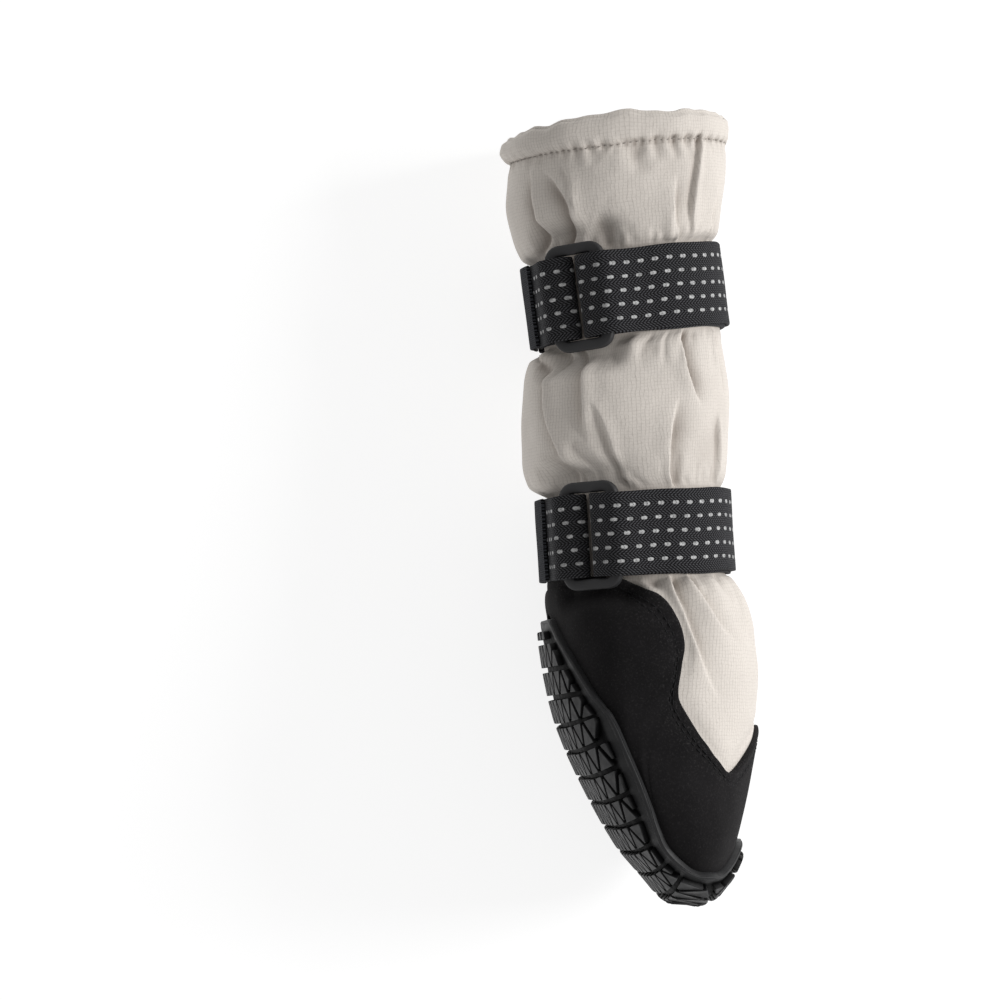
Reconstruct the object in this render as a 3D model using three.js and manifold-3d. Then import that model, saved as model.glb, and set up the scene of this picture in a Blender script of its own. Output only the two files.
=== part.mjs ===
// A tall soft dog boot lying on its left side: a padded fabric upper with a hemmed collar, a suede rand
// round the foot, a wrapped rubber outsole with triangular lugs, an insole, and two webbing straps.
// Each strap folds back through a plastic ring, which a short webbing keeper holds at the back seam.
// Millimetres. The boot is shaped in its own frame: x from the heel side to the instep, y from the toe up
// the shaft, z to the wearer's right. Its last group lays it on the floor, with +Z up.
import * as THREE from "three";
import { mergeVertices } from "three/addons/utils/BufferGeometryUtils.js";
import Module from "manifold-3d";

const wasm = await Module();
wasm.setup();

// Driving sizes of the upper. Every y is measured from the lowest lug at the toe.
const collarAt = 238.5;
const hemHeight = 8.5;
const collarLean = 6;
const shaftDepth = 63.3;
const shaftWidth = 59;
const footDepth = 58;
const footWidth = 79;
const upperWall = 2.2;
const toeTipX = 16.5;
const toeRound = 22;

// Outsole. soleAngle and heelAngle are the tread's and the heel's turns from a level floor under a
// standing shaft, in degrees.
const soleWall = 3.6;
const rimBand = 4.2;
const lugHeight = 1.8;
const lugBase = 7.6;
const lugPitch = 8.3;
const lugGroove = 1.1;
const lugDraft = 0.35;
const treadPress = 0.5;
const rimStep = 4.5;
const keelInset = 3.5;
const soleAngle = 62.3;
const heelAngle = 84.8;

// Suede rand and insole.
const suede = 1.4;
const randTuck = 2.4;
const insoleThickness = 3;
const insoleLength = 62;
const insoleWidth = 56;
const insolePlace = 0.42;

// Straps and rings. frontBar, rearBar, tailEnd, backSeam and seamHalf are angles round the waist from the
// instep, in degrees; strapRise and keeperRise are the angles from the front bar and from the back seam at
// which the outer layer leaves the inner one; strapReach and keeperReach are how far each fold reaches past
// its bar.
const webbingWidth = 25;
const webbing = 1.5;
const ringBar = 3.4;
const ringThickness = 2.6;
const ringCorner = 5;
const frontBar = 108;
const rearBar = 140;
const strapRise = 15;
const keeperRise = 23;
const tailEnd = -128;
const backSeam = 180;
const seamHalf = 17;
const strapReach = 8.2;
const keeperReach = 7.2;
const tabThickness = 1.1;
const ringMargin = 9;
const fit = 0.35;
const upperStrap = { name: "upper", at: 186, centre: -1.05, depth: 53.3, width: 53, lean: 7.4 };
const lowerStrap = { name: "lower", at: 113, centre: 1.9, depth: 52, width: 61, lean: 3.4 };

// How the boot lies: the floor's tilt to the shaft, and how far below the boot's middle the floor runs.
const lieTilt = 4.3;
const floorDepth = 45;

// Facets: sides of the skin, of its hollow and of the insole, and the degrees between points of an arc.
const skinSides = 32;
const hollowSides = 22;
const insoleSides = 18;
const arcStep = 10;

const degree = Math.PI / 180;
const toeTip = soleWall + lugHeight + fit;
const waistHalf = webbingWidth / 2 + fit;

/** The heights between which each zone of the upper runs. */
const zones = {
  foot: [toeTip, lowerStrap.at - waistHalf],
  calf: [lowerStrap.at + waistHalf, upperStrap.at - waistHalf],
  cuff: [upperStrap.at + waistHalf, collarAt - hemHeight],
  hem: [collarAt - hemHeight, collarAt],
};

// Sections of the upper's outer skin. at is a share of the zone's height; back and front are shares of the
// foot's or shaft's depth, from the shaft's axis; half is a share of half the width; widest is where the
// section is widest, as a share of the depth from the back; lean is the section's tilt in degrees.
const footRows = [
  { at: 0.0, back: 0.164, front: 0.474, half: 0.95, widest: 0.45, lean: 0 },
  { at: 0.178, back: 0.009, front: 0.522, half: 0.985, widest: 0.38, lean: 0 },
  { at: 0.262, back: -0.069, front: 0.555, half: 1.0, widest: 0.32, lean: 0 },
  { at: 0.366, back: -0.16, front: 0.593, half: 1.0, widest: 0.29, lean: 0 },
  { at: 0.471, back: -0.241, front: 0.628, half: 0.995, widest: 0.28, lean: 0 },
  { at: 0.576, back: -0.306, front: 0.655, half: 0.985, widest: 0.29, lean: 0 },
  { at: 0.681, back: -0.348, front: 0.659, half: 0.98, widest: 0.33, lean: 0 },
  { at: 0.785, back: -0.376, front: 0.634, half: 0.965, widest: 0.38, lean: 1 },
  { at: 0.869, back: -0.393, front: 0.6, half: 0.92, widest: 0.43, lean: 2 },
  { at: 0.953, back: -0.414, front: 0.548, half: 0.845, widest: 0.48, lean: 3 },
];
const shaftRows = [
  { zone: "calf", at: 0.1, back: -0.483, front: 0.452, half: 1.03, lean: 4.3 },
  { zone: "calf", at: 0.27, back: -0.518, front: 0.466, half: 1.02, lean: 4.8 },
  { zone: "calf", at: 0.52, back: -0.528, front: 0.472, half: 1.0, lean: 5.5 },
  { zone: "calf", at: 0.78, back: -0.521, front: 0.457, half: 0.976, lean: 6.3 },
  { zone: "calf", at: 0.92, back: -0.493, front: 0.439, half: 0.949, lean: 6.9 },
  { zone: "cuff", at: 0.1, back: -0.518, front: 0.423, half: 0.915, lean: 7.2 },
  { zone: "cuff", at: 0.35, back: -0.562, front: 0.446, half: 0.925, lean: 6.9 },
  { zone: "cuff", at: 0.65, back: -0.586, front: 0.455, half: 0.915, lean: 6.5 },
  { zone: "cuff", at: 0.88, back: -0.586, front: 0.453, half: 0.888, lean: collarLean },
  { zone: "hem", at: 0.0, back: -0.575, front: 0.446, half: 0.868, lean: collarLean },
  { zone: "hem", at: 0.14, back: -0.607, front: 0.46, half: 0.922, lean: collarLean },
  { zone: "hem", at: 0.5, back: -0.632, front: 0.469, half: 0.949, lean: collarLean },
  { zone: "hem", at: 0.86, back: -0.624, front: 0.464, half: 0.936, lean: collarLean },
  { zone: "hem", at: 1.0, back: -0.597, front: 0.446, half: 0.891, lean: collarLean },
];
const toeWidthPower = 2.6;
const toeDepthPower = 2.5;
const frontPower = 2.2;
const solePower = 2.7;
const shaftPower = 2.15;

// Edges of the rand, from the middle of the toe to the back of the heel: its top edge and the outsole's rim.
// turn is the angle round the section from the instep in degrees, at is a share of the foot's height.
const edgeRows = [
  { topTurn: 0, topAt: 0.532, rimTurn: 0, rimAt: 0.175 },
  { topTurn: 23.4, topAt: 0.458, rimTurn: 17, rimAt: 0.157 },
  { topTurn: 45.5, topAt: 0.378, rimTurn: 34, rimAt: 0.111 },
  { topTurn: 56.6, topAt: 0.419, rimTurn: 56, rimAt: 0.076 },
  { topTurn: 62.3, topAt: 0.462, rimTurn: 74, rimAt: 0.078 },
  { topTurn: 67.4, topAt: 0.506, rimTurn: 93.5, rimAt: 0.088 },
  { topTurn: 74, topAt: 0.587, rimTurn: 109, rimAt: 0.158 },
  { topTurn: 75.7, topAt: 0.634, rimTurn: 103.5, rimAt: 0.28 },
  { topTurn: 75, topAt: 0.715, rimTurn: 102.5, rimAt: 0.393 },
  { topTurn: 74.1, topAt: 0.78, rimTurn: 108.1, rimAt: 0.544 },
  { topTurn: 77.9, topAt: 0.854, rimTurn: 123.8, rimAt: 0.634 },
  { topTurn: 87, topAt: 0.931, rimTurn: 142.1, rimAt: 0.738 },
  { topTurn: 105.5, topAt: 0.972, rimTurn: 157, rimAt: 0.817 },
  { topTurn: 119, topAt: 0.978, rimTurn: 163, rimAt: 0.853 },
  { topTurn: 135, topAt: 0.979, rimTurn: 168, rimAt: 0.884 },
  { topTurn: 157, topAt: 0.979, rimTurn: 174.5, rimAt: 0.912 },
  { topTurn: 180, topAt: 0.979, rimTurn: 180, rimAt: 0.931 },
];

/** Joins rows of numbers by a smooth curve that never overshoots a row. */
function smoothTable(rows, key) {
  const knots = rows.map((row) => row.y);
  const values = rows.map((row) => row[key]);
  const slopes = values.map((_, i) => {
    if (i === 0 || i === values.length - 1) return 0;
    const before = (values[i] - values[i - 1]) / (knots[i] - knots[i - 1]);
    const after = (values[i + 1] - values[i]) / (knots[i + 1] - knots[i]);
    return before * after <= 0 ? 0 : (2 * before * after) / (before + after);
  });
  return (y) => {
    if (y <= knots[0]) return values[0];
    if (y >= knots[knots.length - 1]) return values[values.length - 1];
    const i = knots.findIndex((knot) => knot > y) - 1;
    const step = knots[i + 1] - knots[i];
    const t = (y - knots[i]) / step;
    const start = (1 + 2 * t) * (1 - t) * (1 - t) * values[i] + t * (1 - t) * (1 - t) * step * slopes[i];
    return start + t * t * (3 - 2 * t) * values[i + 1] + t * t * (t - 1) * step * slopes[i + 1];
  };
}

/** The two rows that pinch the upper under a strap, square to the strap's own lean. */
function waistRows(strap) {
  return [-waistHalf, waistHalf].map((offset) => {
    const centre = strap.centre - offset * Math.tan(strap.lean * degree);
    return {
      y: strap.at + offset,
      back: centre - strap.depth / 2,
      front: centre + strap.depth / 2,
      half: strap.width / 2,
      widest: 0.5,
      lean: strap.lean,
      power: shaftPower,
    };
  });
}

const along = ([low, high], share) => low + (high - low) * share;
const footSections = footRows.map((row) => ({
  y: along(zones.foot, row.at),
  back: row.back * footDepth,
  front: row.front * footDepth,
  half: (row.half * footWidth) / 2,
  widest: row.widest,
  lean: row.lean,
  power: row.at < 0.9 ? solePower : shaftPower,
}));
const shaftSections = shaftRows.map((row) => ({
  y: along(zones[row.zone], row.at),
  back: row.back * shaftDepth,
  front: row.front * shaftDepth,
  half: (row.half * shaftWidth) / 2,
  widest: 0.5,
  lean: row.lean,
  power: shaftPower,
}));
const sections = [...footSections, ...shaftSections, ...waistRows(lowerStrap), ...waistRows(upperStrap)];
sections.sort((a, b) => a.y - b.y);
const column = Object.fromEntries(
  ["back", "front", "half", "widest", "lean", "power"].map((key) => [key, smoothTable(sections, key)]),
);

/** The upper's section at height y, closed to a point at the tip of the toe. */
function sectionAt(y) {
  const rise = Math.min(Math.max((y - toeTip) / toeRound, 0), 1);
  const closeWidth = (1 - (1 - rise) ** toeWidthPower) ** (1 / toeWidthPower);
  const closeDepth = (1 - (1 - rise) ** toeDepthPower) ** (1 / toeDepthPower);
  const back = toeTipX + (column.back(y) - toeTipX) * closeDepth;
  const front = toeTipX + (column.front(y) - toeTipX) * closeDepth;
  const widest = back + (front - back) * column.widest(y);
  return {
    y,
    widest,
    toBack: widest - back,
    toFront: front - widest,
    half: column.half(y) * closeWidth,
    slope: Math.tan(column.lean(y) * degree),
    power: column.power(y),
  };
}

const signedPower = (value, power) => Math.sign(value) * Math.abs(value) ** power;

/** How far a ring presses the skin in towards its strap's waist, from 0 to 1. */
function ringPress(strap, y, phi) {
  const fade = (value, full, none) => 1 - THREE.MathUtils.smoothstep(Math.abs(value), full, none);
  const angle = THREE.MathUtils.euclideanModulo(phi, 2 * Math.PI) / degree - (frontBar + rearBar) / 2;
  const spread = rearBar - frontBar;
  const reach = waistHalf + ringBar;
  const round = fade(angle, 0.62 * spread, 1.12 * spread);
  return round * fade(y - strap.at, reach + ringMargin / 6, reach + ringMargin);
}

/** A point of the upper's skin at height y and angle phi, which is 0 at the instep and pi at the sole. */
function skinPoint(y, phi) {
  const s = sectionAt(y);
  for (const strap of [upperStrap, lowerStrap]) {
    const press = ringPress(strap, y, phi);
    if (press === 0) continue;
    const middle = strap.centre - (y - strap.at) * Math.tan(strap.lean * degree);
    const away = Math.abs(y - strap.at);
    const underRand = suede * THREE.MathUtils.smoothstep(away, waistHalf - suede, waistHalf);
    s.toBack += (s.widest - (middle - strap.depth / 2) - underRand - s.toBack) * press;
    s.half += (strap.width / 2 - underRand - s.half) * press;
  }
  const forward = Math.cos(phi) >= 0;
  const power = 2 / (forward ? frontPower : s.power);
  const reach = signedPower(Math.cos(phi), power) * (forward ? s.toFront : s.toBack);
  return new THREE.Vector3(s.widest + reach, y + s.slope * reach, signedPower(Math.sin(phi), power) * s.half);
}

/** How far a point is out of the skin, as a share of the section: below 0 inside, above 0 outside. */
function skinLevel(p) {
  let s = sectionAt(p.y);
  for (let i = 0; i < 4; i++) s = sectionAt(p.y - s.slope * (p.x - s.widest));
  if (s.y <= toeTip || s.toBack <= 0) return 1 + toeTip - s.y;
  const forward = p.x >= s.widest;
  const power = forward ? frontPower : s.power;
  const x = Math.abs(p.x - s.widest) / (forward ? s.toFront : s.toBack);
  return (x ** power + (Math.abs(p.z) / s.half) ** power) ** (1 / power) - 1;
}

/** The outward normal of the skin near a point. */
function skinNormal(p) {
  const step = 0.05;
  const lowest = toeTip + step / 5;
  const level = (x, y, z) => skinLevel(new THREE.Vector3(p.x + x, Math.max(p.y + y, lowest), p.z + z));
  const gradient = new THREE.Vector3(
    level(step, 0, 0) - level(-step, 0, 0),
    level(0, step, 0) - level(0, -step, 0),
    level(0, 0, step) - level(0, 0, -step),
  );
  return gradient.normalize();
}

const floorUp = new THREE.Vector3(0, -Math.sin(lieTilt * degree), Math.cos(lieTilt * degree));

/** Presses a point flat where it would stand less than rise over the floor. */
function overFloor(p, rise) {
  const height = p.dot(floorUp) + floorDepth;
  return height < rise ? p.addScaledVector(floorUp, rise - height) : p;
}

/** The skin's point at (y, phi), moved out by offset along its normal. */
function offsetPoint(y, phi, offset) {
  const cover = y < zones.foot[1] ? fit + suede : 0;
  const p = skinPoint(y, phi);
  if (y - toeTip < 0.02) return p.add(new THREE.Vector3(0, -offset, 0));
  return overFloor(p.add(skinNormal(p).multiplyScalar(offset)), cover - offset);
}

/** Where a ray from inside meets the skin. */
function castOnSkin(origin, direction) {
  let near = 0;
  let far = footWidth;
  for (let i = 0; i < 26; i++) {
    const middle = (near + far) / 2;
    if (skinLevel(origin.clone().addScaledVector(direction, middle)) < 0) near = middle;
    else far = middle;
  }
  return origin.clone().addScaledVector(direction, (near + far) / 2);
}

/** A geometry from points and triangles, with equal points merged and empty triangles dropped. */
function geometryOf(points, triangles) {
  const geometry = new THREE.BufferGeometry();
  const places = points.flatMap((p) => p.toArray());
  geometry.setAttribute("position", new THREE.Float32BufferAttribute(places, 3));
  geometry.setIndex(triangles.flat());
  const merged = mergeVertices(geometry, 1e-3);
  const index = merged.index.array;
  const kept = [];
  for (let i = 0; i < index.length; i += 3) {
    const [a, b, c] = index.slice(i, i + 3);
    if (a !== b && b !== c && c !== a) kept.push(a, b, c);
  }
  merged.setIndex(kept);
  return merged;
}

/** A closed geometry as a solid that can be cut and joined. */
function solidOf(geometry) {
  const bare = geometry.clone();
  bare.deleteAttribute("normal");
  bare.deleteAttribute("uv");
  const merged = mergeVertices(bare.index ? bare.toNonIndexed() : bare, 1e-3);
  const mesh = new wasm.Mesh({
    numProp: 3,
    vertProperties: new Float32Array(merged.attributes.position.array),
    triVerts: new Uint32Array(merged.index.array),
  });
  return new wasm.Manifold(mesh);
}

/** A solid's triangles as a geometry. */
function geometryFrom(solid) {
  const mesh = solid.getMesh();
  const geometry = new THREE.BufferGeometry();
  geometry.setAttribute("position", new THREE.Float32BufferAttribute(mesh.vertProperties, 3));
  geometry.setIndex(Array.from(mesh.triVerts));
  return geometry;
}

/** A closed solid through rings of points, the first and last ring each closed to a point. */
function loftSolid(first, rings, last) {
  const count = rings[0].length;
  const points = [first, ...rings.flat(), last];
  const at = (ring, i) => 1 + ring * count + (i % count);
  const triangles = [];
  for (let i = 0; i < count; i++) {
    triangles.push([0, at(0, i + 1), at(0, i)]);
    triangles.push([points.length - 1, at(rings.length - 1, i), at(rings.length - 1, i + 1)]);
    for (let ring = 0; ring < rings.length - 1; ring++) {
      triangles.push([at(ring, i), at(ring, i + 1), at(ring + 1, i + 1)]);
      triangles.push([at(ring, i), at(ring + 1, i + 1), at(ring + 1, i)]);
    }
  }
  return solidOf(geometryOf(points, triangles));
}

/** The heights at which the skin is cut, closer at the toe, the straps' edges and the hem. */
const skinHeights = [
  ...[0.027, 0.11, 0.25, 0.455, 0.705].map((share) => toeTip + share * toeRound),
  ...[0.26, 0.36, 0.47, 0.58, 0.68, 0.78, 0.87, 0.95, 1].map((share) => along(zones.foot, share)),
  ...[0, 0.07, 0.2, 0.5, 0.8, 1].map((share) => along(zones.calf, share)),
  ...[0, 0.1, 0.3, 0.65, 1].map((share) => along(zones.cuff, share)),
  ...[0.14, 0.5, 0.86, 1].map((share) => along(zones.hem, share)),
];

/** A solid of the skin moved out by offset, closed at both ends and raised past the collar by rise. */
function skinSolid(offset, sides, heights, rise) {
  const rings = heights.map((y) => {
    const ring = [];
    for (let i = 0; i < sides; i++) ring.push(offsetPoint(y, (-2 * Math.PI * i) / sides, offset));
    return ring;
  });
  const lift = new THREE.Vector3(0, rise, 0);
  if (rise > 0) rings.push(rings[rings.length - 1].map((p) => p.clone().add(lift)));
  const top = rings[rings.length - 1];
  const last = top.reduce((sum, p) => sum.add(p), new THREE.Vector3()).divideScalar(top.length);
  return loftSolid(offsetPoint(toeTip, 0, offset), rings, last);
}

// The sole's own frame: tread runs from the heel to the toe and down is out of the tread.
const tread = new THREE.Vector3(Math.cos(soleAngle * degree), -Math.sin(soleAngle * degree), 0);
const down = new THREE.Vector3(tread.y, -tread.x, 0);
const side = new THREE.Vector3(0, 0, 1);
const footHeight = zones.foot[1] - zones.foot[0];
const keelToe = new THREE.Vector3(toeTipX - keelInset, toeTip + toeRound, 0);
const keelBall = keelToe.clone().addScaledVector(tread, -0.4 * footHeight);
const heelRun = 0.3 * footHeight;
const heelWay = new THREE.Vector3(-Math.cos(heelAngle * degree), Math.sin(heelAngle * degree), 0);

/** Planes across the sole from the heel round to the front of the toe: each has an origin and a direction. */
function crossPlanes() {
  const planes = [];
  const turned = (angle) => new THREE.Vector3(-Math.sin(angle), -Math.cos(angle), 0);
  const soleTurn = soleAngle * degree;
  const heelTurn = heelAngle * degree;
  const straightStep = rimStep / 3;
  const fanStep = 2 * degree;
  const pastToe = -110 * degree;
  for (let run = heelRun; run > 0; run -= straightStep)
    planes.push({ origin: keelBall.clone().addScaledVector(heelWay, run), direction: turned(heelTurn) });
  for (let angle = heelTurn; angle > soleTurn; angle -= fanStep)
    planes.push({ origin: keelBall, direction: turned(angle) });
  const keel = keelToe.distanceTo(keelBall);
  for (let run = 0; run < keel; run += straightStep)
    planes.push({ origin: keelBall.clone().addScaledVector(tread, run), direction: turned(soleTurn) });
  for (let angle = soleTurn; angle > pastToe; angle -= fanStep)
    planes.push({ origin: keelToe, direction: turned(angle) });
  return planes;
}

/** An edge of the rand as a smooth curve of (angle, height): key is "top" or "rim". */
const edgeCurve = (key) =>
  new THREE.SplineCurve(
    edgeRows.map((row) => new THREE.Vector2(row[key + "Turn"] * degree, along(zones.foot, row[key + "At"]))),
  );
const topEdge = edgeCurve("top");
const rimEdge = edgeCurve("rim");

/** The skin's angle and height under a point, the angle from 0 to pi on either side. */
function skinUnder(p) {
  let s = sectionAt(p.y);
  for (let i = 0; i < 4; i++) s = sectionAt(p.y - s.slope * (p.x - s.widest));
  const forward = p.x >= s.widest;
  const power = (forward ? frontPower : s.power) / 2;
  const x = Math.abs(p.x - s.widest) / (forward ? s.toFront : s.toBack);
  const angle = Math.atan2((Math.abs(p.z) / s.half) ** power, x ** power);
  return new THREE.Vector2(forward ? angle : Math.PI - angle, s.y);
}

/** The outsole's region of the skin, as a polygon of (angle, height) below the rim. */
const rimRegion = (() => {
  const away = 2 * footDepth;
  const [low, high] = [-0.1, Math.PI + 0.1];
  const rim = rimEdge.getPoints(8 * edgeRows.length);
  const corners = [
    [high, rim[rim.length - 1].y],
    [high, -away],
    [low, -away],
    [low, rim[0].y],
  ];
  return [...rim, ...corners.map(([x, y]) => new THREE.Vector2(x, y))];
})();

/** Whether a point of the skin lies on the outsole's side of the rim. */
function belowRim(point) {
  const p = skinUnder(point);
  let inside = false;
  rimRegion.forEach((a, i) => {
    const b = rimRegion[(i + 1) % rimRegion.length];
    if (a.y > p.y !== b.y > p.y && p.x < ((b.x - a.x) * (p.y - a.y)) / (b.y - a.y) + a.x) inside = !inside;
  });
  return inside;
}

const rayOf = (plane, psi) =>
  plane.direction.clone().multiplyScalar(Math.cos(psi)).addScaledVector(side, Math.sin(psi));
const hitOf = (plane, psi) => castOnSkin(plane.origin, rayOf(plane, psi));

/** The turn in a cross plane, from its middle, at which the skin meets the rim. */
function rimTurnOf(plane) {
  let low = 0;
  let high = 88 * degree;
  for (let i = 0; i < 18; i++) {
    const psi = (low + high) / 2;
    if (belowRim(hitOf(plane, psi))) low = psi;
    else high = psi;
  }
  return low;
}

/** Lengths over the skin in a cross plane, from its middle out to the rim in even turns. */
function girthOf(plane, rim) {
  const girth = [0];
  const steps = 24;
  let last = hitOf(plane, 0);
  for (let i = 1; i <= steps; i++) {
    const next = hitOf(plane, (rim * i) / steps);
    girth.push(girth[i - 1] + next.distanceTo(last));
    last = next;
  }
  return girth;
}

/** Each cross plane with its place along the sole, and its girth from the middle out to the rim. */
function soleRows() {
  const rows = [];
  let place = 0;
  let before = null;
  for (const plane of crossPlanes()) {
    const middle = hitOf(plane, 0);
    if (before) place += middle.distanceTo(before);
    before = middle;
    if (!belowRim(middle)) continue;
    const rim = rimTurnOf(plane);
    const girth = girthOf(plane, rim);
    rows.push({ plane, place, rim, girth, half: girth[girth.length - 1] });
  }
  return rows;
}
const soleTable = soleRows();
const soleStart = soleTable[0].place;
const soleEnd = soleTable[soleTable.length - 1].place;

/** The sole's row at a place, mixed from its two neighbours. */
function soleRowAt(place) {
  const next = Math.max(soleTable.findIndex((row) => row.place >= place), 1);
  const [a, b] = [soleTable[next - 1], soleTable[next]];
  const t = Math.min(Math.max((place - a.place) / (b.place - a.place), 0), 1);
  const mix = (low, high) => low + (high - low) * t;
  return {
    origin: a.plane.origin.clone().lerp(b.plane.origin, t),
    direction: a.plane.direction.clone().lerp(b.plane.direction, t).normalize(),
    rim: mix(a.rim, b.rim),
    half: mix(a.half, b.half),
    girth: a.girth.map((value, i) => mix(value, b.girth[i])),
  };
}

/** A point over the sole's region: place along it, out from its middle line, and lifted off the skin. */
function solePoint(place, out, lift) {
  const row = soleRowAt(place);
  const reach = Math.min(Math.abs(out), row.half);
  const steps = row.girth.length - 1;
  const next = Math.min(Math.max(row.girth.findIndex((value) => value >= reach), 1), steps);
  const share = (reach - row.girth[next - 1]) / Math.max(row.girth[next] - row.girth[next - 1], 1e-6);
  const psi = (row.rim * (next - 1 + share)) / steps;
  const hit = castOnSkin(row.origin, rayOf(row, psi * Math.sign(out)));
  return overFloor(hit.addScaledVector(skinNormal(hit), lift), 0);
}

const treadLevel = (() => {
  const ball = soleRowAt((soleStart + soleEnd) * 0.45);
  const hit = castOnSkin(ball.origin, down);
  return hit.dot(down) + soleWall + lugHeight - treadPress;
})();

/** Keeps a lug's top on the tread's plane where it would stand past it. */
function ontoTread(p) {
  const past = p.dot(down) - treadLevel;
  return past > 0 ? p.addScaledVector(down, -past) : p;
}

/** The rim in the sole's two coordinates, as a polygon with even steps. */
function rimPolygon() {
  const path = new THREE.Path([new THREE.Vector2(soleStart, 0)]);
  soleTable.forEach((row) => path.lineTo(row.place, row.half));
  path.lineTo(soleEnd, 0);
  const half = path.getSpacedPoints(Math.round(path.getLength() / rimStep));
  const back = half.slice(1, -1).map((p) => new THREE.Vector2(p.x, -p.y));
  return [...back, ...half.reverse()];
}

/** Cuts a polygon back to the left of the line from a to b. */
function clipToLine(polygon, a, b) {
  const left = (p) => (b.x - a.x) * (p.y - a.y) - (b.y - a.y) * (p.x - a.x);
  const kept = [];
  polygon.forEach((p, i) => {
    const q = polygon[(i + 1) % polygon.length];
    const [s, t] = [left(p), left(q)];
    if (s >= 0) kept.push(p.clone());
    if (s >= 0 !== t >= 0) kept.push(p.clone().lerp(q, s / (s - t)));
  });
  return kept;
}

/** Distance from a point of the sole to its rim, in the sole's own two coordinates. */
function toRim(p, rim) {
  if (p.x <= soleStart || p.x >= soleEnd || Math.abs(p.y) >= soleRowAt(p.x).half) return -1;
  const closest = new THREE.Vector3();
  const lines = rim.map((a, i) => [a, rim[(i + 1) % rim.length]]);
  const distances = lines.map(([a, b]) => {
    const line = new THREE.Line3(new THREE.Vector3(a.x, a.y, 0), new THREE.Vector3(b.x, b.y, 0));
    line.closestPointToPoint(new THREE.Vector3(p.x, p.y, 0), true, closest);
    return Math.hypot(closest.x - p.x, closest.y - p.y);
  });
  return Math.min(...distances);
}

/** Cuts a lug's outline back to the smooth band along the rim, and drops what is left of a small one. */
function lugOutline(corners, rim) {
  const centre = corners.reduce((sum, p) => sum.add(p), new THREE.Vector2()).divideScalar(corners.length);
  const shrunk = corners.map((p) => p.clone().lerp(centre, (corners.length * lugGroove) / 2 / lugPitch));
  const kept = [];
  shrunk.forEach((p, i) => {
    const q = shrunk[(i + 1) % shrunk.length];
    const [a, b] = [toRim(p, rim) - rimBand, toRim(q, rim) - rimBand];
    if (a >= 0) kept.push(p);
    if (a >= 0 !== b >= 0) kept.push(p.clone().lerp(q, a / (a - b)));
  });
  const smallest = (lugBase * lugPitch) / 8;
  return kept.length > 2 && THREE.ShapeUtils.area(kept) > smallest ? kept : null;
}

/** The cells of the tread: triangles in rows across the sole, cut to the rim, each with its lug's outline. */
function treadCells() {
  const rim = rimPolygon();
  const cells = [];
  const rows = Math.ceil((soleEnd - soleStart) / lugPitch) + 1;
  const across = Math.ceil(footWidth / lugBase);
  for (let row = 0; row < rows; row++) {
    const low = soleEnd - rimBand / 2 - row * lugPitch;
    const shift = row % 2 === 0 ? 0 : lugBase / 2;
    for (let i = -across; i <= across; i++) {
      const corner = (rise, run) => new THREE.Vector2(low + rise * lugPitch, (i + run) * lugBase + shift);
      for (const corners of [
        [corner(0, 1), corner(0, 0), corner(1, 0.5)],
        [corner(0, 1), corner(1, 0.5), corner(1, 1.5)],
      ]) {
        const cell = corners.reduce((left, a, k) => clipToLine(left, a, corners[(k + 1) % 3]), rim);
        if (cell.length > 2) cells.push({ cell, lug: lugOutline(corners, rim) });
      }
    }
  }
  return cells;
}

/** Triangles that fill a polygon of the sole's two coordinates round a hole, all wound the same way. */
function fill(polygon, hole) {
  const all = [...polygon, ...hole];
  const faces = THREE.ShapeUtils.triangulateShape([...polygon], hole.length ? [[...hole]] : []);
  const area = ([a, b, c]) => THREE.ShapeUtils.area([all[a], all[b], all[c]]);
  const wound = faces.map((face) => (area(face) > 0 ? face : [face[0], face[2], face[1]]));
  return wound.map((face) => face.map((k) => all[k]));
}

/** The outsole before its inside is cut: the tread with its lugs, and a lip that turns in at the rim. */
function soleBody() {
  const points = [];
  const triangles = [];
  const add = (corners) => triangles.push(corners.map((p) => points.push(p) - 1));
  for (const { cell, lug } of treadCells()) {
    const ground = (p) => solePoint(p.x, p.y, soleWall);
    fill(cell, lug ?? []).forEach((corners) => add(corners.map(ground)));
    if (!lug) continue;
    const centre = lug.reduce((sum, p) => sum.add(p), new THREE.Vector2()).divideScalar(lug.length);
    const foot = lug.map(ground);
    const top = lug.map((p) => {
      const drawn = p.clone().lerp(centre, lugDraft / lugBase);
      return ontoTread(solePoint(drawn.x, drawn.y, soleWall + lugHeight));
    });
    lug.forEach((_, i) => {
      const next = (i + 1) % lug.length;
      add([foot[i], foot[next], top[next]]);
      add([foot[i], top[next], top[i]]);
      if (i > 1) add([top[0], top[i - 1], top[i]]);
    });
  }
  const outer = geometryOf(points, triangles);
  const corner = (i) => new THREE.Vector3().fromBufferAttribute(outer.attributes.position, i);
  const index = outer.index.array;
  const used = new Set();
  const shell = [];
  for (let i = 0; i < index.length; i += 3) {
    const face = index.slice(i, i + 3);
    face.forEach((from, k) => used.add(from + "," + face[(k + 1) % 3]));
    shell.push(Array.from(face, corner));
  }
  const closed = [];
  const heart = keelToe.clone().lerp(keelBall, 0.5);
  const inner = (p) => p.clone().addScaledVector(skinNormal(p), -soleWall - upperWall);
  used.forEach((edge) => {
    const [a, b] = edge.split(",").map(Number);
    if (used.has(b + "," + a)) return;
    const [from, to] = [corner(a), corner(b)];
    closed.push([from, inner(to), to], [from, inner(from), inner(to)], [inner(from), heart, inner(to)]);
  });
  const faces = [...shell, ...closed];
  return solidOf(geometryOf(faces.flat(), faces.map((_, i) => [3 * i, 3 * i + 1, 3 * i + 2])));
}

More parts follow.
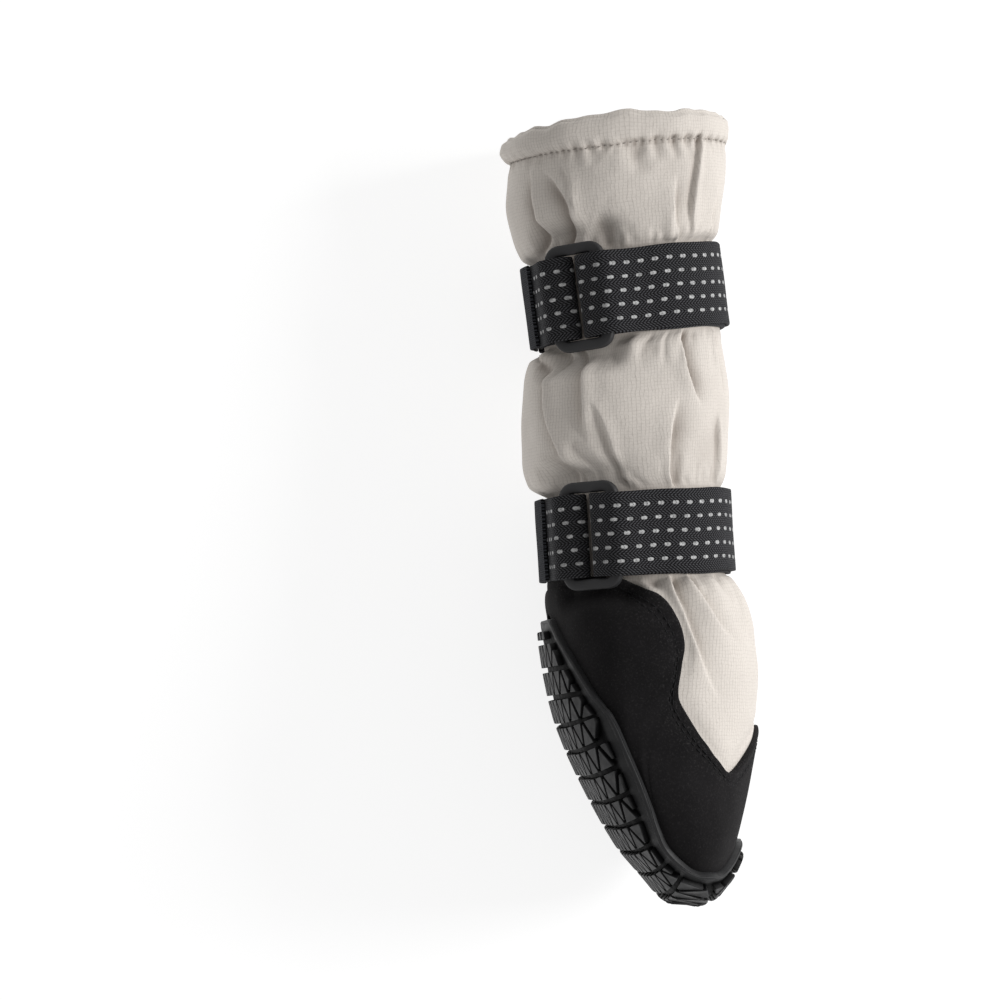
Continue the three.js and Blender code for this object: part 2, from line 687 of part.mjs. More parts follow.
/** The rand's edges from the toe to the heel on one side, the lower one tucked in under the outsole. */
function randColumns(steps) {
  const columns = [];
  for (let i = 0; i <= steps; i++) {
    const top = topEdge.getPoint(i / steps);
    const rim = rimEdge.getPoint(i / steps);
    const length = skinPoint(top.y, top.x).distanceTo(skinPoint(rim.y, rim.x));
    const low = rim.clone().lerp(top, -randTuck / Math.max(length, randTuck));
    columns.push({ top, low });
  }
  return columns;
}

/** A band of the rand between two offsets from the skin, all the way round the foot. */
function randSolid(inner, outer, past) {
  const steps = 2 * (edgeRows.length - 1);
  const rows = 5;
  const right = randColumns(steps);
  const mirrored = (end) => new THREE.Vector2(-end.x, end.y);
  const left = right.slice(1, steps).map((c) => ({ top: mirrored(c.top), low: mirrored(c.low) }));
  const columns = [...right, ...left.reverse()];
  const shares = Array.from({ length: rows + 1 }, (_, i) => i / rows);
  if (past > 0) shares.unshift(-past / rows);
  const loop = [outer, inner].flatMap((offset) => shares.map((share) => ({ share, offset })));
  loop.push(...loop.splice(shares.length).reverse());
  const points = columns.flatMap(({ top, low }) =>
    loop.map(({ share, offset }) => {
      const at = low.clone().lerp(top, share);
      return offsetPoint(at.y, at.x, offset);
    }),
  );
  const triangles = [];
  columns.forEach((_, i) => {
    const next = (i + 1) % columns.length;
    loop.forEach((__, j) => {
      const up = (j + 1) % loop.length;
      const [a, b] = [i * loop.length + j, next * loop.length + j];
      const [c, d] = [next * loop.length + up, i * loop.length + up];
      triangles.push([a, c, b], [a, d, c]);
    });
  });
  return solidOf(geometryOf(points, triangles));
}

/** The insole's outline, less an inset, as a block from inside the foot out through the sole. */
function insoleBlock(inset) {
  const outline = new THREE.Shape();
  const extrusion = { depth: footDepth, bevelEnabled: false, curveSegments: insoleSides / 2 };
  outline.absellipse(0, 0, insoleLength / 2 - inset, insoleWidth / 2 - inset, 0, 2 * Math.PI, false, 0);
  const geometry = new THREE.ExtrudeGeometry(outline, extrusion);
  const across = new THREE.Vector3().crossVectors(down, tread);
  const start = keelToe.clone().lerp(keelBall, insolePlace);
  geometry.applyMatrix4(new THREE.Matrix4().makeBasis(tread, across, down).setPosition(start));
  return solidOf(geometry);
}

/** The frame of a strap: across the boot, out to the side and down the strap's width. */
function strapMatrix(strap) {
  const lean = strap.lean * degree;
  const forward = new THREE.Vector3(Math.cos(lean), Math.sin(lean), 0);
  const up = new THREE.Vector3(-Math.sin(lean), Math.cos(lean), 0);
  const origin = new THREE.Vector3(strap.centre, strap.at, 0).addScaledVector(up, webbingWidth / 2);
  return new THREE.Matrix4().makeBasis(forward, side, up.negate()).setPosition(origin);
}

/** A point of a strap's path round the waist, at angle phi and offset out from the fabric. */
function strapPoint(strap, phi, offset) {
  const reach = strap.depth / 2 / Math.cos(strap.lean * degree);
  const half = strap.width / 2;
  const at = (angle) =>
    new THREE.Vector2(
      signedPower(Math.cos(angle), 2 / shaftPower) * reach,
      signedPower(Math.sin(angle), 2 / shaftPower) * half,
    );
  const small = 0.02;
  const way = at(phi + small).sub(at(phi - small)).normalize();
  return at(phi).add(new THREE.Vector2(way.y, -way.x).multiplyScalar(offset));
}

const firstLayer = fit + webbing;
const secondLayer = firstLayer + webbing;
const barTurn = ((rearBar - frontBar) / 2) * degree;
const ringLift = firstLayer + fit + ringThickness / 2 + (ringBar / 2) * Math.sin(barTurn);

/** A ring's bars in its strap's plane: both bars' middles, the way between them and the way out. */
function ringPlane(strap) {
  const [front, rear] = [frontBar, rearBar].map((angle) => strapPoint(strap, angle * degree, ringLift));
  const across = front.clone().sub(rear).normalize();
  return { front, rear, across, outward: new THREE.Vector2(-across.y, across.x) };
}

/** A point beside a ring's bar: reach towards the ring's middle, and rise out from the bar's middle. */
function besideBar(plane, bar, reach, rise) {
  const inwards = bar === "front" ? -reach : reach;
  return plane[bar].clone().addScaledVector(plane.across, inwards).addScaledVector(plane.outward, rise);
}

/** A webbing part: an outline in the strap's plane, extruded over the webbing's width. */
function webbingPart(strap, outline, hole) {
  const shape = new THREE.Shape(outline);
  if (hole) shape.holes.push(new THREE.Path(hole.reverse()));
  const geometry = new THREE.ExtrudeGeometry(shape, { depth: webbingWidth, bevelEnabled: false });
  return geometry.applyMatrix4(strapMatrix(strap));
}

/** Points round the waist from one angle to another, at one offset. */
function arc(strap, from, to, offset) {
  const steps = Math.max(Math.round(Math.abs(to - from) / arcStep), 1);
  const angle = (i) => (from + ((to - from) * i) / steps) * degree;
  return Array.from({ length: steps + 1 }, (_, i) => strapPoint(strap, angle(i), offset));
}

/** The loop of webbing over a ring's bar, from above the bar to the skin, at one distance off the bar. */
function foldPoints(plane, bar, reach, off) {
  const top = ringThickness / 2 + off;
  const slack = reach - (webbing + fit - off);
  const shares = [
    { reach: 0.6, rise: 1 },
    { reach: 0.85, rise: 0.75 },
    { reach: 0.97, rise: 0.25 },
    { reach: 1, rise: -0.3 },
  ];
  const start = besideBar(plane, bar, -ringBar / 2 - fit, top);
  return [start, ...shares.map((share) => besideBar(plane, bar, share.reach * slack, share.rise * top))];
}

/** The strap: once round from the back seam, up through the ring, folded over its bar and back on itself. */
function strapGeometry(strap) {
  const plane = ringPlane(strap);
  const turn = (strapReach / strapPoint(strap, frontBar * degree, 0).length()) / degree;
  const low = frontBar + turn;
  const outer = [
    ...arc(strap, seamHalf / 2 - backSeam, tailEnd, firstLayer),
    ...arc(strap, tailEnd + 1, frontBar - 1.6 * strapRise, secondLayer),
    strapPoint(strap, (frontBar - strapRise) * degree, secondLayer + webbing),
    ...foldPoints(plane, "front", strapReach, fit + webbing),
  ];
  const inner = arc(strap, low - 3, seamHalf / 2 - backSeam, fit);
  const innerFold = foldPoints(plane, "front", strapReach, fit);
  const hole = [...arc(strap, low - 5, frontBar - 0.75 * strapRise, firstLayer), ...innerFold];
  return webbingPart(strap, [...outer, ...inner], hole);
}

/** The keeper: a short doubled webbing from the back seam, looped over the ring's rear bar. */
function keeperGeometry(strap) {
  const plane = ringPlane(strap);
  const turn = (keeperReach / strapPoint(strap, rearBar * degree, 0).length()) / degree;
  const low = rearBar - turn;
  const fold = foldPoints(plane, "rear", keeperReach, fit + webbing).reverse();
  const inner = arc(strap, backSeam - 2, low + 3, fit);
  const rise = strapPoint(strap, (backSeam - keeperRise) * degree, secondLayer + webbing / 2);
  const outer = [rise, ...arc(strap, backSeam - seamHalf, backSeam - 2, secondLayer)];
  const innerFold = foldPoints(plane, "rear", keeperReach, fit).reverse();
  const hole = [...arc(strap, backSeam - 1.2 * keeperRise, low + 5, firstLayer), ...innerFold];
  return webbingPart(strap, [...inner, ...fold, ...outer], hole);
}

/** The tab that covers both ends of the webbing at the back seam. */
function tabGeometry(strap) {
  const [first, last] = [backSeam - seamHalf, backSeam + seamHalf];
  const [keeperTop, strapTop] = [secondLayer + fit, firstLayer + fit];
  const under = [...arc(strap, first, backSeam, keeperTop), ...arc(strap, backSeam + 4, last, strapTop)];
  const over = [
    ...arc(strap, last, backSeam + 4, strapTop + tabThickness),
    ...arc(strap, backSeam, first, keeperTop + tabThickness),
  ];
  return webbingPart(strap, [...under, ...over]);
}

/** A rounded rectangle about the origin, drawn on a shape or a path. */
function rounded(path, width, height, radius) {
  const [x, y] = [width / 2 - radius, height / 2 - radius];
  const quarter = Math.PI / 2;
  path.moveTo(-x, -y - radius);
  path.absarc(x, -y, radius, -quarter, 0, false);
  path.absarc(x, y, radius, 0, quarter, false);
  path.absarc(-x, y, radius, quarter, 2 * quarter, false);
  path.absarc(-x, -y, radius, 2 * quarter, 3 * quarter, false);
  return path;
}

/** The ring: a flat rounded rectangle that stands tangent to the shaft, its two long bars in the webbing. */
function ringGeometry(strap) {
  const plane = ringPlane(strap);
  const length = webbingWidth + 2 * fit + 2 * ringBar;
  const width = plane.front.distanceTo(plane.rear) + ringBar;
  const shape = rounded(new THREE.Shape(), width, length, ringCorner);
  const corner = Math.max(ringCorner - ringBar, fit);
  shape.holes.push(rounded(new THREE.Path(), width - 2 * ringBar, length - 2 * ringBar, corner));
  const extrusion = { depth: ringThickness, bevelEnabled: false, curveSegments: 3 };
  const geometry = new THREE.ExtrudeGeometry(shape, extrusion);
  const frame = strapMatrix(strap);
  const forward = new THREE.Vector3(plane.across.x, plane.across.y, 0).transformDirection(frame);
  const up = new THREE.Vector3(0, 0, -1).transformDirection(frame);
  const outward = new THREE.Vector3().crossVectors(forward, up);
  const middle = plane.front.clone().add(plane.rear).divideScalar(2);
  const origin = new THREE.Vector3(middle.x, middle.y, webbingWidth / 2).applyMatrix4(frame);
  origin.addScaledVector(outward, -ringThickness / 2);
  return geometry.applyMatrix4(new THREE.Matrix4().makeBasis(forward, up, outward).setPosition(origin));
}

const material = (color, roughness) => new THREE.MeshStandardMaterial({ color, roughness, metalness: 0 });
const fabric = material(0xc9c1b8, 0.85);
const suedeBlack = material(0x1a191b, 0.95);
const rubber = material(0x2a2a2c, 0.55);
const webbingBlack = material(0x1c1c1e, 0.9);
const plastic = material(0x303134, 0.45);
const felt = material(0x4a4a4c, 0.95);

function named(name, geometry, finish) {
  const mesh = new THREE.Mesh(geometry, finish);
  mesh.name = name;
  return mesh;
}

const boot = new THREE.Group();
const skin = skinSolid(0, skinSides, skinHeights, 0);
const hollow = skinSolid(-upperWall, hollowSides, skinHeights, upperWall);
boot.add(named("upper", geometryFrom(skin.subtract(hollow).subtract(insoleBlock(0))), fabric));

const room = skinSolid(fit, skinSides, skinHeights, 0);
const rand = randSolid(-fit, fit + suede, 0).subtract(room);
boot.add(named("rand", geometryFrom(rand), suedeBlack));

const randRoom = randSolid(-fit, suede + 2 * fit, fit);
boot.add(named("outsole", geometryFrom(soleBody().subtract(room).subtract(randRoom)), rubber));

const footHeights = skinHeights.filter((_, i) => i % 2 === 0);
const footSkin = (offset) => skinSolid(offset, insoleSides, footHeights, 0);
const insole = insoleBlock(fit).intersect(footSkin(0)).subtract(footSkin(-insoleThickness));
boot.add(named("insole", geometryFrom(insole), felt));

for (const strap of [upperStrap, lowerStrap]) {
  boot.add(named("strap_" + strap.name, strapGeometry(strap), webbingBlack));
  boot.add(named("keeper_" + strap.name, keeperGeometry(strap), webbingBlack));
  boot.add(named("tab_" + strap.name, tabGeometry(strap), webbingBlack));
  boot.add(named("ring_" + strap.name, ringGeometry(strap), plastic));
}

// The boot lies on its left side, with the outsole's edge, the rand and the hem on the floor.
boot.rotation.x = -lieTilt * degree;
const lain = new THREE.Group();
lain.add(boot);
const box = new THREE.Box3().setFromObject(lain, true);
lain.position.set(-(box.min.x + box.max.x) / 2, -(box.min.y + box.max.y) / 2, -box.min.z);

export default lain;
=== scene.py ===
"""A tall soft dog boot lying on its left side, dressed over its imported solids.

The boot is shaped in its own frame, in millimetres: x from the heel side to the instep, y from the toe
up the shaft, z to the wearer's right. Laying it on the floor turns it about x and moves it into the
shared frame, in metres.
"""
import logging
import math
import random
from dataclasses import dataclass, field
from enum import Enum
from typing import Callable, Optional

import bpy
import numpy as np
from mathutils import Matrix, Vector


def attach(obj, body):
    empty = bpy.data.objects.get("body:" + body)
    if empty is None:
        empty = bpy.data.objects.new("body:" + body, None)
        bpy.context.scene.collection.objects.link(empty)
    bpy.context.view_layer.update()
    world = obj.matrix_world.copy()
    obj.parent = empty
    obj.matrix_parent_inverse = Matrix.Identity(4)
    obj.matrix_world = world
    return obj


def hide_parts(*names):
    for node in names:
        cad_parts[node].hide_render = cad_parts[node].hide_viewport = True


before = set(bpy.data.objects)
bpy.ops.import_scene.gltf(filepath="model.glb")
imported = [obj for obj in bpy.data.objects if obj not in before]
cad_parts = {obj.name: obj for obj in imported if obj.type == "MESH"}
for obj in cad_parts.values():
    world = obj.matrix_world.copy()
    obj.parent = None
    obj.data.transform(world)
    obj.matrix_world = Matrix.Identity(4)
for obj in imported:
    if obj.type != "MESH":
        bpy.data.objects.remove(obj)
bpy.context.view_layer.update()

LOG = logging.getLogger("dog_boot")
DEGREE = math.pi / 180
Array = np.ndarray
Colour = tuple[float, float, float]
Socket = bpy.types.NodeSocket
Material = bpy.types.Material


class Slot(Enum):
    """Material slots of the record."""

    FABRIC = "padded_fabric"
    SUEDE = "suede"
    RUBBER = "lugged_rubber"
    WEBBING = "webbing"
    PLASTIC = "ring_plastic"


@dataclass(frozen=True)
class StrapSizes:
    """One strap's place: heights and widths in millimetres, lean in degrees."""

    name: str
    at: float
    centre: float
    depth: float
    width: float
    lean: float


@dataclass(frozen=True)
class BootSizes:
    """The boot's named sizes in millimetres, with turns in degrees."""

    collar_at: float = 238.5
    hem_height: float = 8.5
    shaft_depth: float = 63.3
    shaft_width: float = 59.0
    foot_depth: float = 58.0
    foot_width: float = 79.0
    upper_wall: float = 2.2
    toe_tip_x: float = 16.5
    toe_round: float = 22.0
    toe_width_power: float = 2.6
    toe_depth_power: float = 2.5
    front_power: float = 2.2
    sole_power: float = 2.7
    shaft_power: float = 2.15
    sole_wall: float = 3.6
    rim_band: float = 4.2
    smooth_band: float = 3.1
    lug_height: float = 1.8
    lug_base: float = 7.6
    lug_pitch: float = 8.3
    lug_groove: float = 1.3
    lug_step: float = 0.1
    tread_press: float = 0.5
    keel_inset: float = 3.5
    sole_angle: float = 62.3
    heel_angle: float = 84.8
    suede: float = 1.4
    rand_tuck: float = 2.4
    webbing_width: float = 25.0
    webbing: float = 1.5
    ring_bar: float = 3.4
    ring_thickness: float = 2.6
    ring_corner: float = 5.0
    front_bar: float = 108.0
    rear_bar: float = 140.0
    tail_end: float = -128.0
    back_seam: float = 180.0
    seam_half: float = 17.0
    strap_reach: float = 8.2
    keeper_reach: float = 7.2
    tab_thickness: float = 1.1
    ring_margin: float = 9.0
    fit: float = 0.35
    lie_tilt: float = 4.3
    floor_depth: float = 45.0
    upper_strap: StrapSizes = StrapSizes("upper", 186.0, -1.05, 53.3, 53.0, 7.4)
    lower_strap: StrapSizes = StrapSizes("lower", 113.0, 1.9, 52.0, 61.0, 3.4)

    @property
    def toe_tip(self) -> float:
        """Height of the upper's lowest point."""
        return self.sole_wall + self.lug_height + self.fit

    @property
    def suede_face(self) -> float:
        """How far the suede's outer face is off the fabric."""
        return self.fit + self.suede

    @property
    def hem_seam(self) -> float:
        """Height of the seam under the hem."""
        return self.collar_at - self.hem_height

    @property
    def waist_half(self) -> float:
        """Half the height that a strap presses in."""
        return self.webbing_width / 2 + self.fit

    @property
    def straps(self) -> tuple[StrapSizes, StrapSizes]:
        """Both straps, the upper one first."""
        return (self.upper_strap, self.lower_strap)

    def zone(self, name: str) -> tuple[float, float]:
        """Heights between which a zone of the upper runs.

        Args:
            name: foot, calf, cuff or hem.

        Returns:
            The zone's lowest and highest height.
        """
        low, high = self.lower_strap.at, self.upper_strap.at
        return {
            "foot": (self.toe_tip, low - self.waist_half),
            "calf": (low + self.waist_half, high - self.waist_half),
            "cuff": (high + self.waist_half, self.hem_seam),
            "hem": (self.hem_seam, self.collar_at),
        }[name]

    def along(self, name: str, share: float) -> float:
        """The height at a share of a zone."""
        low, high = self.zone(name)
        return low + (high - low) * share


SIZES = BootSizes()

# Foot rows: share of the height, back, front, half width, widest place, lean.
FOOT_ROWS = (
    (0.0, 0.164, 0.474, 0.95, 0.45, 0),
    (0.178, 0.009, 0.522, 0.985, 0.38, 0),
    (0.262, -0.069, 0.555, 1.0, 0.32, 0),
    (0.366, -0.16, 0.593, 1.0, 0.29, 0),
    (0.471, -0.241, 0.628, 0.995, 0.28, 0),
    (0.576, -0.306, 0.655, 0.985, 0.29, 0),
    (0.681, -0.348, 0.659, 0.98, 0.33, 0),
    (0.785, -0.376, 0.634, 0.965, 0.38, 1),
    (0.869, -0.393, 0.6, 0.92, 0.43, 2),
    (0.953, -0.414, 0.548, 0.845, 0.48, 3),
)
# Shaft rows: zone, share of its height, back, front, half width, lean.
SHAFT_ROWS = (
    ("calf", 0.1, -0.483, 0.452, 1.03, 4.3),
    ("calf", 0.27, -0.518, 0.466, 1.02, 4.8),
    ("calf", 0.52, -0.528, 0.472, 1.0, 5.5),
    ("calf", 0.78, -0.521, 0.457, 0.976, 6.3),
    ("calf", 0.92, -0.493, 0.439, 0.949, 6.9),
    ("cuff", 0.1, -0.518, 0.423, 0.915, 7.2),
    ("cuff", 0.35, -0.562, 0.446, 0.925, 6.9),
    ("cuff", 0.65, -0.586, 0.455, 0.915, 6.5),
    ("cuff", 0.88, -0.586, 0.453, 0.888, 6.0),
    ("hem", 0.0, -0.575, 0.446, 0.868, 6.0),
    ("hem", 0.14, -0.607, 0.46, 0.922, 6.0),
    ("hem", 0.5, -0.632, 0.469, 0.949, 6.0),
    ("hem", 0.86, -0.624, 0.464, 0.936, 6.0),
    ("hem", 1.0, -0.597, 0.446, 0.891, 6.0),
)
# Edge rows from the toe to the heel: top edge's turn and height, rim's turn and height.
EDGE_ROWS = (
    (0, 0.532, 0, 0.175),
    (23.4, 0.458, 17, 0.157),
    (45.5, 0.378, 34, 0.111),
    (56.6, 0.419, 56, 0.076),
    (62.3, 0.462, 74, 0.078),
    (67.4, 0.506, 93.5, 0.088),
    (74, 0.587, 109, 0.158),
    (75.7, 0.634, 103.5, 0.28),
    (75, 0.715, 102.5, 0.393),
    (74.1, 0.78, 108.1, 0.544),
    (77.9, 0.854, 123.8, 0.634),
    (87, 0.931, 142.1, 0.738),
    (105.5, 0.99, 157, 0.817),
    (119, 1.006, 163, 0.853),
    (135, 1.01, 168, 0.884),
    (157, 1.01, 174.5, 0.912),
    (180, 1.01, 180, 0.931),
)


def smoothstep(value: Array, low: float, high: float) -> Array:
    """Eases from 0 at low to 1 at high."""
    t = np.clip((value - low) / (high - low), 0, 1)
    return t * t * (3 - 2 * t)


def signed_power(value: Array, power: Array) -> Array:
    """Raises magnitudes to a power and keeps their signs."""
    return np.sign(value) * np.abs(value) ** power


def unit(vectors: Array) -> Array:
    """Vectors scaled to length 1."""
    return vectors / np.maximum(np.linalg.norm(vectors, axis=-1, keepdims=True), 1e-9)


def catmull(points: Array, places: Array) -> Array:
    """A smooth curve through points.

    Args:
        points: The points, one a row.
        places: Places along the curve, from 0 to 1.

    Returns:
        The curve's points.
    """
    last = len(points) - 1
    place = np.clip(places, 0, 1) * last
    i = np.minimum(place.astype(int), last - 1)
    t = (place - i)[:, None]
    p0, p1 = points[np.maximum(i - 1, 0)], points[i]
    p2, p3 = points[i + 1], points[np.minimum(i + 2, last)]
    v0, v1 = (p2 - p0) / 2, (p3 - p1) / 2
    cubic = (2 * p1 - 2 * p2 + v0 + v1) * t**3 + (-3 * p1 + 3 * p2 - 2 * v0 - v1) * t**2
    return cubic + v0 * t + p1


def lengths_along(points: Array) -> Array:
    """Length from a polyline's start to each of its points."""
    return np.concatenate([[0], np.cumsum(np.linalg.norm(np.diff(points, axis=0), axis=1))])


def doubled_area(outline: Array) -> float:
    """Twice a flat outline's area, below 0 where it winds the other way."""
    x, y = outline[:, 0], outline[:, 1]
    return float(np.sum(x * np.roll(y, -1) - np.roll(x, -1) * y))


def texture_grid(across: Array, along: Array) -> Array:
    """Texture places of a grid, one row for each value of along."""
    return np.stack(np.broadcast_arrays(across[None, :], along[:, None]), axis=-1)


def columns_at(places: Array, knots: Array, table: Array) -> Array:
    """Rows of a table read between its knots."""
    return np.stack([np.interp(places, knots, table[:, k]) for k in range(table.shape[1])], axis=-1)


def even_steps(points: Array, step: float) -> Array:
    """Points at even steps along a polyline.

    Args:
        points: The polyline's points.
        step: Length of a step.

    Returns:
        The new points, both ends included.
    """
    lengths = lengths_along(points)
    count = max(int(round(lengths[-1] / step)), 1)
    return columns_at(np.linspace(0, lengths[-1], count + 1), lengths, points)


@dataclass
class Skin:
    """The upper's outer skin, as a function of a height and a turn from the instep."""

    sizes: BootSizes
    heights: Array = field(init=False)
    columns: dict[str, Array] = field(init=False)

    KEYS = ("back", "front", "half", "widest", "lean", "power")

    def __post_init__(self) -> None:
        """Mixes the rows of sections into smooth columns."""
        rows = sorted(self._rows())
        heights = np.array([row[0] for row in rows])
        self.heights = np.arange(self.sizes.toe_tip - 10, self.sizes.collar_at + 10, 0.05)
        self.columns = {
            key: self._smooth(heights, np.array([row[1 + i] for row in rows]), self.heights)
            for i, key in enumerate(self.KEYS)
        }

    def _rows(self) -> list[tuple[float, ...]]:
        """Each section row with its height and its sizes in millimetres.

        Returns:
            The rows, in no order.
        """
        s = self.sizes
        rows: list[tuple[float, ...]] = []
        for at, back, front, half, widest, lean in FOOT_ROWS:
            power = s.sole_power if at < 0.9 else s.shaft_power
            reaches = (back * s.foot_depth, front * s.foot_depth, half * s.foot_width / 2)
            rows.append((s.along("foot", at), *reaches, widest, lean, power))
        for zone, at, back, front, half, lean in SHAFT_ROWS:
            reaches = (back * s.shaft_depth, front * s.shaft_depth, half * s.shaft_width / 2)
            rows.append((s.along(zone, at), *reaches, 0.5, lean, s.shaft_power))
        for strap in s.straps:
            for offset in (-s.waist_half, s.waist_half):
                centre = strap.centre - offset * math.tan(strap.lean * DEGREE)
                back, front = centre - strap.depth / 2, centre + strap.depth / 2
                rows.append((strap.at + offset, back, front, strap.width / 2, 0.5, strap.lean, s.shaft_power))
        return rows

    @staticmethod
    def _smooth(knots: Array, values: Array, at: Array) -> Array:
        """A smooth curve through values that never overshoots them.

        Args:
            knots: Heights of the values.
            values: The values.
            at: Heights to read the curve at.

        Returns:
            The curve's values.
        """
        gaps = np.diff(values) / np.diff(knots)
        slopes = np.zeros_like(values)
        product = gaps[:-1] * gaps[1:]
        total = gaps[:-1] + gaps[1:]
        rising = product > 0
        slopes[1:-1][rising] = 2 * product[rising] / total[rising]
        i = np.clip(np.searchsorted(knots, at, side="right") - 1, 0, len(knots) - 2)
        step = knots[i + 1] - knots[i]
        t = np.clip((at - knots[i]) / step, 0, 1)
        start = (1 + 2 * t) * (1 - t) ** 2 * values[i] + t * (1 - t) ** 2 * step * slopes[i]
        return start + t * t * (3 - 2 * t) * values[i + 1] + t * t * (t - 1) * step * slopes[i + 1]

    def section(self, y: Array) -> dict[str, Array]:
        """The skin's section at each height.

        Args:
            y: Heights.

        Returns:
            The widest place, reaches, half width, slope and power of each section.
        """
        s = self.sizes
        column = {key: np.interp(y, self.heights, self.columns[key]) for key in self.KEYS}
        rise = np.clip((y - s.toe_tip) / s.toe_round, 0, 1)
        close_width = (1 - (1 - rise) ** s.toe_width_power) ** (1 / s.toe_width_power)
        close_depth = (1 - (1 - rise) ** s.toe_depth_power) ** (1 / s.toe_depth_power)
        back = s.toe_tip_x + (column["back"] - s.toe_tip_x) * close_depth
        front = s.toe_tip_x + (column["front"] - s.toe_tip_x) * close_depth
        widest = back + (front - back) * column["widest"]
        return {
            "y": y,
            "widest": widest,
            "to_back": widest - back,
            "to_front": front - widest,
            "half": column["half"] * close_width,
            "slope": np.tan(column["lean"] * DEGREE),
            "power": column["power"],
        }

    def ring_press(self, strap: StrapSizes, y: Array, phi: Array) -> Array:
        """How far a ring presses the skin in towards its strap's waist.

        Args:
            strap: The strap that the ring closes.
            y: Heights.
            phi: Turns in radians.

        Returns:
            Numbers from 0 to 1.
        """
        s = self.sizes
        angle = np.mod(phi, 2 * math.pi) / DEGREE - (s.front_bar + s.rear_bar) / 2
        spread = s.rear_bar - s.front_bar
        reach, margin = s.waist_half + s.ring_bar, s.ring_margin
        around = 1 - smoothstep(np.abs(angle), 0.62 * spread, 1.12 * spread)
        return around * (1 - smoothstep(np.abs(y - strap.at), reach + margin / 6, reach + margin))

    def point(self, y: Array, phi: Array) -> Array:
        """Points of the skin.

        Args:
            y: Heights.
            phi: Turns in radians, 0 at the instep.

        Returns:
            Points in the boot's frame.
        """
        y, phi = np.broadcast_arrays(np.asarray(y, float), np.asarray(phi, float))
        s = self.section(y)
        waist, suede = self.sizes.waist_half, self.sizes.suede
        for strap in self.sizes.straps:
            press = self.ring_press(strap, y, phi)
            middle = strap.centre - (y - strap.at) * math.tan(strap.lean * DEGREE)
            under = suede * smoothstep(np.abs(y - strap.at), waist - suede, waist)
            pressed_back = s["widest"] - (middle - strap.depth / 2) - under
            s["to_back"] = s["to_back"] + (pressed_back - s["to_back"]) * press
            s["half"] = s["half"] + (strap.width / 2 - under - s["half"]) * press
        forward = np.cos(phi) >= 0
        power = 2 / np.where(forward, self.sizes.front_power, s["power"])
        reach = signed_power(np.cos(phi), power) * np.where(forward, s["to_front"], s["to_back"])
        side = signed_power(np.sin(phi), power) * s["half"]
        return np.stack([s["widest"] + reach, y + s["slope"] * reach, side], axis=-1)

    def normal(self, y: Array, phi: Array) -> Array:
        """Outward normals of the skin.

        Args:
            y: Heights.
            phi: Turns in radians.

        Returns:
            Unit vectors.
        """
        y = np.maximum(y, self.sizes.toe_tip + 0.12)
        round_step, rise = 0.02, 0.1
        across = self.point(y, phi + round_step) - self.point(y, phi - round_step)
        up = self.point(y + rise, phi) - self.point(y - rise, phi)
        return unit(np.cross(up, across))

    def over_floor(self, points: Array, rise: Array | float) -> Array:
        """Presses points flat where they would be less than rise over the floor.

        Args:
            points: Points in the boot's frame.
            rise: Least height over the floor.

        Returns:
            The pressed points.
        """
        tilt = self.sizes.lie_tilt * DEGREE
        up = np.array([0, -math.sin(tilt), math.cos(tilt)])
        height = points @ up + self.sizes.floor_depth
        return points + np.maximum(rise - height, 0)[..., None] * up

    def lifted(self, y: Array, phi: Array, offset: Array | float, rise: Array | float = 0.0) -> Array:
        """Points of the skin moved out by an offset and kept over the floor."""
        points = self.point(y, phi)
        return self.over_floor(points + self.normal(y, phi) * np.asarray(offset)[..., None], rise)

    def _through(self, p: Array) -> dict[str, Array]:
        """The leaning sections that pass through points.

        Args:
            p: Points in the boot's frame.

        Returns:
            Their sections.
        """
        s = self.section(p[..., 1])
        for _ in range(4):
            s = self.section(p[..., 1] - s["slope"] * (p[..., 0] - s["widest"]))
        return s

    def level(self, p: Array) -> Array:
        """How far points are out of the skin, as a share of the section.

        Args:
            p: Points in the boot's frame.

        Returns:
            Numbers below 0 inside and above 0 outside.
        """
        s = self._through(p)
        forward = p[..., 0] >= s["widest"]
        power = np.where(forward, self.sizes.front_power, s["power"])
        reach = np.maximum(np.where(forward, s["to_front"], s["to_back"]), 1e-6)
        x = np.abs(p[..., 0] - s["widest"]) / reach
        z = np.abs(p[..., 2]) / np.maximum(s["half"], 1e-6)
        out = (x**power + z**power) ** (1 / power) - 1
        return np.where(s["y"] <= self.sizes.toe_tip, 1 + self.sizes.toe_tip - s["y"], out)

    def gradient(self, p: Array) -> Array:
        """Outward normals of the skin near points.

        Args:
            p: Points in the boot's frame.

        Returns:
            Unit vectors.
        """
        step = 0.05
        lowest = np.array([-np.inf, self.sizes.toe_tip + step / 5, -np.inf])
        rises = [
            self.level(np.maximum(p + move, lowest)) - self.level(np.maximum(p - move, lowest))
            for move in step * np.eye(3)
        ]
        return unit(np.stack(rises, axis=-1))

    def under(self, p: Array) -> tuple[Array, Array]:
        """The turn and the height under points, on either side.

        Args:
            p: Points in the boot's frame.

        Returns:
            Turns from 0 to pi, and heights.
        """
        s = self._through(p)
        forward = p[..., 0] >= s["widest"]
        power = np.where(forward, self.sizes.front_power, s["power"]) / 2
        reach = np.maximum(np.where(forward, s["to_front"], s["to_back"]), 1e-6)
        x = np.abs(p[..., 0] - s["widest"]) / reach
        angle = np.arctan2((np.abs(p[..., 2]) / np.maximum(s["half"], 1e-6)) ** power, x**power)
        return np.where(forward, angle, math.pi - angle), s["y"]

